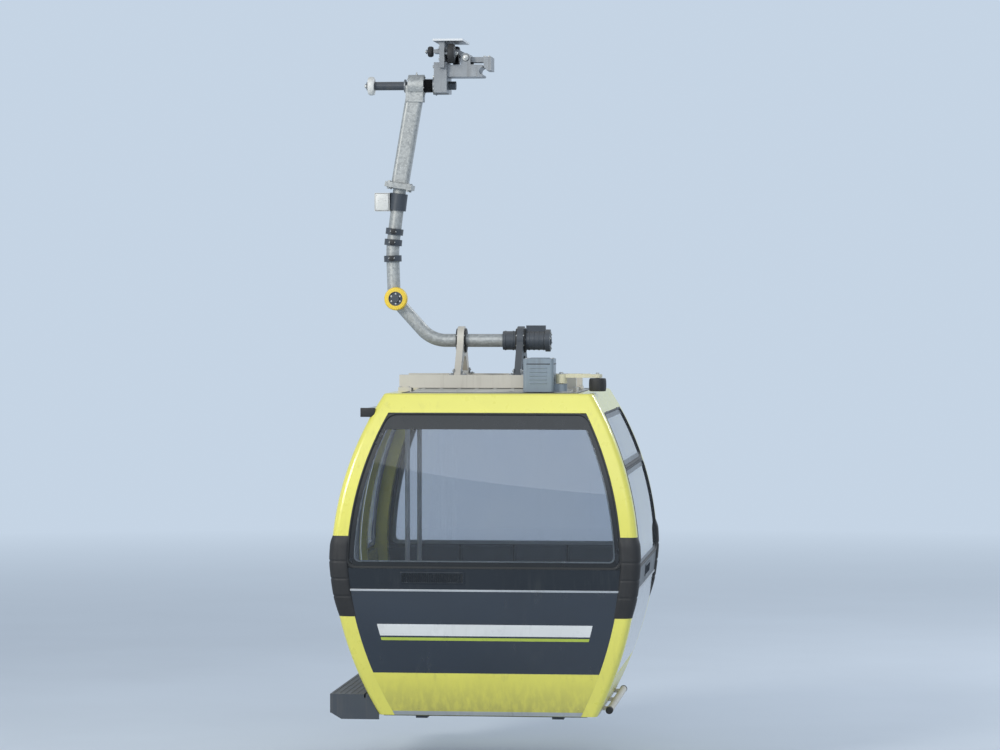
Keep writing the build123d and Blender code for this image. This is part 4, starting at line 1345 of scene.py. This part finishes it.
for i in range(folds * 6 + 1):
    swell = 0.5 - 0.5 * math.cos(2 * math.pi * i / 6)
    outline.append((start + (end - start) * i / (folds * 6), look["bossRadius"] + look["foldDepth"] * swell))
outline += [(end, look["pinRadius"]), (start, look["pinRadius"])]
pivot = Vector((0, 0, look["pivot"]))
ride("pinGaiter", [turned(outline, pivot, axisX, "rubber", angle=60)], "rubber", "grip")
x = look["neckX"]
collar = ((0.016, 0.0304), (0.016, 0.043), (0.013, 0.046), (0.005, 0.046), (0.002, 0.043), (0.002, 0.0304))
outline = [(x - along, radius) for along, radius in collar]
ride("pinCollar", [
    turned(outline, pivot, axisX, "grip_steel"),
    bolts([pivot + Vector((x - 0.009, 0, -0.046))], -axisZ, 0.0040),
], "grip_steel", "grip")
outline = [
    (-0.002, 0.0075), (0.004, 0.0075), (0.006, 0.0045), (0.011, 0.0040), (0.013, 0.0052), (0.016, 0.0046),
    (0.018, 0.0015), (0.018, 0.0003),
]
nipple = pivot + Vector((sum(look["headX"]) / 2, 0, 0.078))
parts = [turned(outline, nipple, axisZ, "zincBolt", 16, ending="flat")]
for face, x in zip(bothWays, look["headX"]):
    spots = circle(pivot + axisX * x, axisX, look["headRing"], 6, 0.5)
    parts.append(bolts(spots, axisX * face, look["headBolt"]))
ride("headFittings", parts, "hanger_grey")
print("hanger dressed")

# Damper on the end of the hanger's foot: banded body and a bolted cap
damper = {
    "foot": -1.887, "radius": 0.066, "bands": (0.318, 0.352, 0.386, 0.420, 0.150, 0.205),
    "capX": 0.467, "capBolts": 6, "capBolt": 0.0070, "capRing": 0.058,
}
look = damper
r, x, foot = look["radius"], look["capX"], Vector((0, 0, look["foot"]))
band = ((-0.006, r - 0.001), (-0.005, r + 0.002), (-0.003, r + 0.003))
band += tuple((-along, radius) for along, radius in reversed(band))
boss = ((-0.002, 0.0005), (0.006, 0.0005), (0.008, 0.020), (0.006, 0.028), (-0.002, 0.030))
parts = [
    turned([(spot + along, radius) for along, radius in band], foot, axisX, "dark_steel")
    for spot in look["bands"]
]
parts.append(
    bolts(circle(foot + axisX * x, axisX, look["capRing"], look["capBolts"]), axisX, look["capBolt"])
)
parts.append(turned([(x + along, radius) for along, radius in boss], foot, axisX, "dark_steel"))
ride("damperFittings", parts, "dark_steel")

# Door drive: lid joint, ribs, lid screws and a raised plate; nuts and ribs on the lever
drive = {
    "x": (0.335, 0.545), "y": (-0.640, -0.420), "z": (-2.232, -2.005), "lidDrop": 0.036, "corner": 0.052,
    "joint": (0.0032, 0.0022), "rib": (0.110, 0.0055, 0.0042), "ribs": 5, "ribLow": 0.060, "ribPitch": 0.026,
    "screw": 0.0045, "screwX": 0.088, "screwY": 0.093, "plate": (0.066, 0.072, 0.006),
    "lever": (0.590, -0.530, -2.112), "leverLength": 0.250, "leverNut": 0.0140, "rollerNut": 0.0110,
    "leverRib": (0.150, 0.0045, 0.0035), "leverRibY": 0.013,
}
look = drive
(x0, x1), (y0, y1), (z0, z1) = look["x"], look["y"], look["z"]
mx, my, lid = (x0 + x1) / 2, (y0 + y1) / 2, z1 - look["lidDrop"]
long, wide = x1 - x0 - look["corner"], y1 - y0 - look["corner"]
parts = [
    beads([place], aim, side, (length, *look["joint"]), "gasket") for place, aim, side, length in (
        ((mx, y0, lid), -axisY, axisX, long), ((mx, y1, lid), axisY, axisX, long),
        ((x0, my, lid), -axisX, axisY, wide), ((x1, my, lid), axisX, axisY, wide),
    )
]
for aim, y in ((-axisY, y0), (axisY, y1)):
    spots = [(mx, y, z0 + look["ribLow"] + look["ribPitch"] * k) for k in range(look["ribs"])]
    parts.append(beads(spots, aim, axisX, look["rib"], "drive_case"))
spots = [(mx + u * look["screwX"], my + v * look["screwY"], z1) for u in bothWays for v in (-1, 0, 1)]
halfX, halfY, thick = look["plate"]
parts.append(bolts(spots, axisZ, look["screw"]))
parts.append(
    box((mx - halfX, my - halfY, z1 - 0.001), (mx + halfX, my + halfY, z1 + thick), "drive_case", 0.003)
)
ride("driveDetails", parts, "drive_case")
shaft = Vector(look["lever"])
ribs = [
    shaft + axisX * look["leverLength"] / 2 + axisY * dy for dy in (-look["leverRibY"], look["leverRibY"])
]
ride("leverFittings", [
    bolts([shaft], axisZ, look["leverNut"]),
    bolts([shaft + axisX * look["leverLength"]], axisZ, look["rollerNut"]),
    beads(ribs, axisZ, axisX, look["leverRib"], "pale_lever"),
], "pale_lever", "door_lever")
print("damper and door drive dressed")

# Grip: nuts on every pin, bolted cheeks and saddle, welded plate, inserts held by screws in the moving jaw
grip = {
    "pin": (-0.120, 0.128, 0.092), "pinNut": 0.0145, "axle": (-0.184, 0.150, 0.120), "axleNut": 0.0120,
    "cheekX": -0.296, "cheekY": (0.126, 0.169), "cheekZ": (0.080, 0.160, 0.190), "cheekBolt": 0.0075,
    "saddleX": -0.340,
    "saddle": ((0.090, 0.030), (0.128, 0.030), (0.128, -0.040), (0.128, -0.122), (0.086, -0.122)),
    "saddleBolt": 0.0095, "guideX": -0.833, "guideNut": 0.0150, "pusher": (-0.411, 0, 0.143),
    "pusherNut": 0.0085, "seamX": (-0.2605, -0.2975), "seamY": (0.112, 0.071), "seamZ": 0.204,
    "bossRadius": 0.065, "weld": 0.0048, "jawX": (0.012, 0.044), "jawY": (-0.092, -0.030, 0.030, 0.092),
    "jawZ": 0.100, "jawScrew": 0.0070, "ribX": -0.265, "ribY": (-0.050, -0.017, 0.017, 0.050), "ribZ": 0.156,
    "rib": (0.120, 0.0060, 0.0045),
}
look = grip
parts, seams = [], []
for way in bothWays:
    pin, axle = (Vector((x, way * y, z)) for x, y, z in (look["pin"], look["axle"]))
    cheek = [(look["cheekX"], way * y, z) for y in look["cheekY"] for z in look["cheekZ"]]
    saddle = [(look["saddleX"], way * y, z) for y, z in look["saddle"]]
    parts += [
        bolts([pin], axisY * way, look["pinNut"]), bolts([axle], axisX, look["axleNut"]),
        bolts(cheek, -axisX, look["cheekBolt"]), bolts(saddle, -axisX, look["saddleBolt"]),
    ]
    start, length = look["seamY"]
    for x in look["seamX"]:
        seams.append([Vector((x, way * (start + length * i / 10), look["seamZ"])) for i in range(11)])
parts.append(bolts([pivot + axisX * look["guideX"]], -axisX, look["guideNut"]))
ride("gripBolts", parts, "grip_steel", "grip")
loop = circle(pivot + axisX * (look["saddleX"] - 0.0005), axisX, look["bossRadius"], 40)
ride("gripWelds", [welds(seams + [loop + loop[:1]], look["weld"], "grip_steel")], "grip_steel", "grip")
ride("clampFittings", [
    bolts([(x, y, look["jawZ"]) for x in look["jawX"] for y in look["jawY"]], axisZ, look["jawScrew"]),
    bolts([look["pusher"]], -axisX, look["pusherNut"]),
    beads([(look["ribX"], y, look["ribZ"]) for y in look["ribY"]], axisZ, axisX, look["rib"], "grip_steel"),
], "grip_steel", "clamp_lever")
print("grip bolted")

# Doors: rubber seals where the leaves meet, a gasket round each lower panel, screws up the frames
doorSeals = {
    "from": 0.165, "to": 2.010, "near": 0.0031, "nose": -0.0008, "back": 0.0014, "outer": -0.034,
    "inner": -0.014, "steps": 30, "panel": (0.208, 0.660), "panelCorner": 0.020, "screwAlong": (0.030, 0.393),
    "screwPitch": 0.155, "screwDepth": -0.0418, "screw": (0.0034, 0.0022),
}
look = doorSeals
near, nose, back = look["near"], look["nose"], look["back"]
lipSteps = ((near, 1), (nose + 0.0005, 1), (nose, 0.8), (nose, 0.12), (back, 0.02), (back, -1), (near, -1))
for end, way in ends:
    middle, half = (look["outer"] + look["inner"]) / 2, way * (look["inner"] - look["outer"]) / 2
    section = [(y, middle + half * share) for y, share in lipSteps]  # the two lips lap over each other
    levels = [
        look["from"] + (look["to"] - look["from"]) * i / look["steps"] for i in range(look["steps"] + 1)
    ]
    loops = [[walls["door"](way * y, z, depth) for y, depth in section] for z in levels]
    leaf = between(*(way * along for along in body["leaf"]))
    gasket = [(inset, depth + windowTrim["doorSeat"]) for inset, depth in windowTrim["gasket"]]
    rows = []
    for along in look["screwAlong"]:
        z = look["from"] + 0.05
        while z < look["to"] - 0.02:
            rows.append([wallFrame("door", way * along, z, look["screwDepth"])])
            z += look["screwPitch"]
    ride("leafTrim_" + end, [
        skin(loops, "gasket", "flat", 30),
        openingRing("door", *look["panel"], leaf, gasket, look["panelCorner"], "gasket"),
        repeated(rows, boltTree, dict(zip(("Radius", "Height"), look["screw"])), "zincBolt"),
    ], "rubber", "door_" + end)

track = {
    "x": (-0.757, -0.664), "z": (-2.398, -2.342), "end": 0.842, "cap": (0.022, 0.006), "skin": 0.003,
    "boltFrom": -0.750, "boltPitch": 0.150, "bolts": 11, "bolt": 0.0062,
}
look = track
(x0, x1), (z0, z1), over = look["x"], look["z"], look["skin"]
parts = []
for way in bothWays:
    y0, y1 = sorted((way * (look["end"] - look["cap"][0]), way * (look["end"] + look["cap"][1])))
    parts.append(box((x0 - over, y0, z0 - over), (x1 + over, y1, z1 + over), "rubber", 0.003))
spots = [(x0, look["boltFrom"] + look["boltPitch"] * i, (z0 + z1) / 2) for i in range(look["bolts"])]
ride("trackFittings", parts + [bolts(spots, -axisX, look["bolt"])], "bare_aluminium")
print("doors dressed")

# Floor and step: treads and studs against slipping
footing = {
    "halfX": 0.640, "halfY": 0.415, "pitch": 0.050, "treadRadius": 0.0052,
    "step": 0.138, "stepX": (-1.066, -0.906), "stepY": 0.770, "stepPitch": 0.040, "studRadius": 0.0062,
}
look = footing
halfX, halfY, pitch = look["halfX"], look["halfY"], look["pitch"]
rows = []
for i in range(round(2 * halfX / pitch) + 1):
    for j in range(round(2 * halfY / pitch) + 1):
        place = cabinPoint(-halfX + i * pitch, -halfY + j * pitch, body["floor"])
        rows.append([(place, axisZ, axisX if (i + j) % 2 else axisY)])
treads = repeated(rows, treadTree, {"Radius": look["treadRadius"]}, "floor_metal")
ride("floorTreads", [treads], "floor_metal")
(x0, x1), halfY, pitch = look["stepX"], look["stepY"], look["stepPitch"]
rows = []
for i in range(round((x1 - x0) / pitch) + 1):
    for j in range(round(2 * halfY / pitch) + 1):
        y = -halfY + j * pitch + pitch / 2 * (i % 2)
        if y < halfY:
            rows.append([(cabinPoint(x0 + i * pitch, y, look["step"]), axisZ, axisX)])
studs = repeated(rows, studTree, {"Radius": look["studRadius"]}, "dark_steel")
ride("stepStuds", [studs], "dark_steel")
print("floor and step studded")

# Inside: flanges at both ends of the poles, a ceiling lamp, and trims along the front of the benches
inside = {
    "poleX": -0.503, "poleY": 0.330, "poleEnds": (-4.330, -2.300), "poleRadius": 0.017, "flange": 0.040,
    "flangeScrew": 0.0034, "lamp": (0.110, 0.520, 0.110), "lampTop": -2.300, "lampDepth": 0.022,
    "shadeInset": 0.012, "fascia": (0.011, 0.006), "fasciaDrop": 0.026, "fasciaEnds": 0.06,
}
look = inside
r, wide = look["poleRadius"], look["flange"]
outline = [
    (0.0, r + 0.0002), (0.0, wide), (0.004, wide), (0.006, wide - 0.002), (0.008, r + 0.009),
    (0.016, r + 0.003), (0.017, r + 0.0002),
]
parts = []
for way in bothWays:
    for z, aim in zip(look["poleEnds"], (axisZ, -axisZ)):
        foot = Vector((look["poleX"], way * look["poleY"], z))
        parts.append(turned(outline, foot, aim, "bare_aluminium"))
        parts.append(bolts(circle(foot + aim * 0.0062, aim, wide - 0.009, 4, 0.5), aim, look["flangeScrew"]))
ride("poleFlanges", parts, "bare_aluminium")
x, long, wide = look["lamp"]
parts = []
for inset, bottom, top, finish, soft in (
    (0.0, 0.008, 0.001, "bare_aluminium", 0.003),
    (look["shadeInset"], look["lampDepth"], -0.006, "lampWhite", 0.008),
):
    halfX, halfY, z = long / 2 - inset, wide / 2 - inset, look["lampTop"]
    parts.append(box((x - halfX, -halfY, z - bottom), (x + halfX, halfY, z + top), finish, soft))
ride("ceilingLamp", parts, "white_plastic")
fascias = []
for end, way in ends:
    low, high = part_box("bench_" + end)
    place = ((low.x + high.x) / 2, high.y if way < 0 else low.y, high.z - look["fasciaDrop"])
    size = (high.x - low.x - look["fasciaEnds"], *look["fascia"])
    fascias.append(beads([place], -axisY * way, axisX, size, "bare_aluminium"))
ride("benchFascias", fascias, "bench_frame")
print("inside fitted")

# Underside and tower side: rivets, drains, ends of the guide rail, hinges and latch of the vent window
lower = {
    "rivet": 0.0062, "pitch": 0.075, "floorX": 0.690, "floorY": 0.760,
    "drains": ((-0.25, -0.26), (0.25, 0.26)), "drainRadius": 0.045, "drainScrew": 0.0030,
    "railEnd": (0.934, 0.692, -4.406), "railRadius": 0.024, "hingeAlong": (-0.46, 0.46), "hingeHeight": 2.064,
    "hinge": (0.085, 0.0085, 0.0085), "latchHeight": 1.706, "latch": (0.070, 0.010, 0.007),
}
look = lower
halfX, halfY = look["floorX"], look["floorY"]
seams = []
for way in bothWays:
    seams.append(
        [(cabinPoint(-halfX + 2 * halfX * i / 40, way * halfY, 0), -axisZ, axisX) for i in range(41)]
    )
    seams.append(
        [(cabinPoint(way * halfX, -halfY + 2 * halfY * i / 40, 0), -axisZ, axisY) for i in range(41)]
    )
parts = [repeated(seams, rivetTree, {"Radius": look["rivet"], "Spacing": look["pitch"]}, "zincBolt")]
r = look["drainRadius"]
outline = [
    (-0.001, r), (0.006, r), (0.008, r - 0.003), (0.008, r - 0.010), (0.003, r - 0.012), (0.003, 0.0005),
]
for x, y in look["drains"]:
    foot = cabinPoint(x, y, 0)
    parts.append(turned(outline, foot, -axisZ, "gasket", 48, ending="flat"))
    parts.append(bolts(circle(foot - axisZ * 0.008, axisZ, r - 0.0062, 4, 0.5), -axisZ, look["drainScrew"]))
ride("underFittings", parts, "floor_metal")
r, (x, y, z) = look["railRadius"], look["railEnd"]
outline = [
    (-0.030, r), (-0.030, r + 0.0016), (0.004, r + 0.0016), (0.009, r - 0.002), (0.011, r - 0.010),
    (0.011, 0.0005),
]
parts = [turned(outline, (x, way * y, z), axisY * way, "rubber", 48, ending="flat") for way in bothWays]
ride("railEnds", parts, "rubber")
parts = []
for alongs, height, depth, size in (
    (look["hingeAlong"], look["hingeHeight"], 0.003, look["hinge"]),
    ((0.0,), look["latchHeight"], 0.016, look["latch"]),
):
    rows = [[wallFrame("tower", along, height, depth)] for along in alongs]
    parts.append(repeated(rows, beadTree, dict(zip(("Length", "Width", "Height"), size)), "dark_steel"))
ride("ventFittings", parts, "rubber")
print("underside and vent window fitted")

# Stage: a round floor that fades into the pale background, soft lights and the photograph's camera
stage = {
    "floorHeight": -4.86, "floorRadii": (6.0, 14.0, 30.0, 80.0), "rim": 96, "fadeFrom": 9.0, "fadeTo": 26.0,
    "floor": (0.60, 0.66, 0.72), "background": (0.56, 0.66, 0.78), "ambient": (0.62, 0.70, 0.82),
    "ambientStrength": 0.62,
    "lights": (
        ("key", (-9.0, -14.0, 5.0), 5.0, 1500.0, (1.0, 0.97, 0.90)),
        ("sky", (3.0, -15.0, 8.0), 14.0, 650.0, (0.92, 0.96, 1.0)),
        ("rim", (10.0, 9.0, 6.0), 5.0, 900.0, (0.95, 0.97, 1.0)),
    ),
    "aim": (0.11, 0.0, -2.13), "azimuth": 6.0, "elevation": 1.2, "distance": 25.4, "lens": 130.0,
}
rim, middle = stage["rim"], Vector((0, 0, stage["floorHeight"]))
points = [middle]
faces = [(0, 1 + i, 1 + (i + 1) % rim) for i in range(rim)]
for ring, radius in enumerate(stage["floorRadii"]):
    for i in range(rim):
        angle = 2 * math.pi * i / rim
        points.append(middle + Vector((radius * math.cos(angle), radius * math.sin(angle), 0)))
    if ring:
        start = 1 + (ring - 1) * rim
        faces += [
            (start + i, start + rim + i, start + rim + (i + 1) % rim, start + (i + 1) % rim)
            for i in range(rim)
        ]
floor = meshObject("studioFloor", points, faces)

floorPaint, tree, sockets, place = newMaterial("studioFloor")
flat = add(tree, "ShaderNodeMapping", {"Vector": place, "Scale": (1, 1, 0)})
reach = add(tree, "ShaderNodeVectorMath", {0: flat}, "Value", operation="LENGTH")
mottled = remap(tree, noise(tree, place, even, 0.5, 4.0), 0.3, 0.7, 0.97, 1.02)
tree.links.new(toned(tree, (*stage["floor"], 1), mottled), sockets["Base Color"])
sockets["Roughness"].default_value = 0.8
shine = add(tree, "ShaderNodeEmission", {"Color": (*stage["background"], 1), "Strength": 1.0})
fade = add(tree, "ShaderNodeMixShader", {
    0: remap(tree, reach, stage["fadeFrom"], stage["fadeTo"]),
    1: tree.nodes["Principled BSDF"].outputs["BSDF"], 2: shine,
})
tree.links.new(fade, tree.nodes["Material Output"].inputs["Surface"])
floor.data.materials.append(floorPaint)

world = bpy.data.worlds.new("studio")
scene.world = world
world.use_nodes = True
tree = world.node_tree
tree.nodes.clear()
light = tree.nodes.new("ShaderNodeLightPath").outputs
seen = scaled(tree, light["Is Camera Ray"], light["Is Glossy Ray"], "MAXIMUM")
seen = scaled(tree, seen, light["Is Transmission Ray"], "MAXIMUM")
ambient = add(
    tree, "ShaderNodeBackground", {"Color": (*stage["ambient"], 1), "Strength": stage["ambientStrength"]},
)
backdrop = add(tree, "ShaderNodeBackground", {"Color": (*stage["background"], 1), "Strength": 1.0})
either = add(tree, "ShaderNodeMixShader", {0: seen, 1: ambient, 2: backdrop})
tree.links.new(either, tree.nodes.new("ShaderNodeOutputWorld").inputs["Surface"])

aim = Vector(stage["aim"])
for name, place, size, power, color in stage["lights"]:
    lamp = bpy.data.lights.new(name, "AREA")
    lamp.shape = "DISK"
    lamp.size, lamp.energy, lamp.color = size, power, color
    holder = linked(name, lamp)
    holder.location = place
    holder.visible_camera = holder.visible_transmission = False
    holder.rotation_euler = (aim - Vector(place)).to_track_quat("-Z", "Y").to_euler()

turn, lift = math.radians(stage["azimuth"]), math.radians(stage["elevation"])
away = Vector((math.sin(turn) * math.cos(lift), -math.cos(turn) * math.cos(lift), math.sin(lift)))
camera = linked("camera", bpy.data.cameras.new("camera"))
camera.data.lens = stage["lens"]
camera.data.clip_end = 200.0
camera.location = aim + away * stage["distance"]
camera.rotation_euler = (-away).to_track_quat("-Z", "Y").to_euler()
scene.camera = camera
scene.view_settings.view_transform = "Standard"
print("stage set")
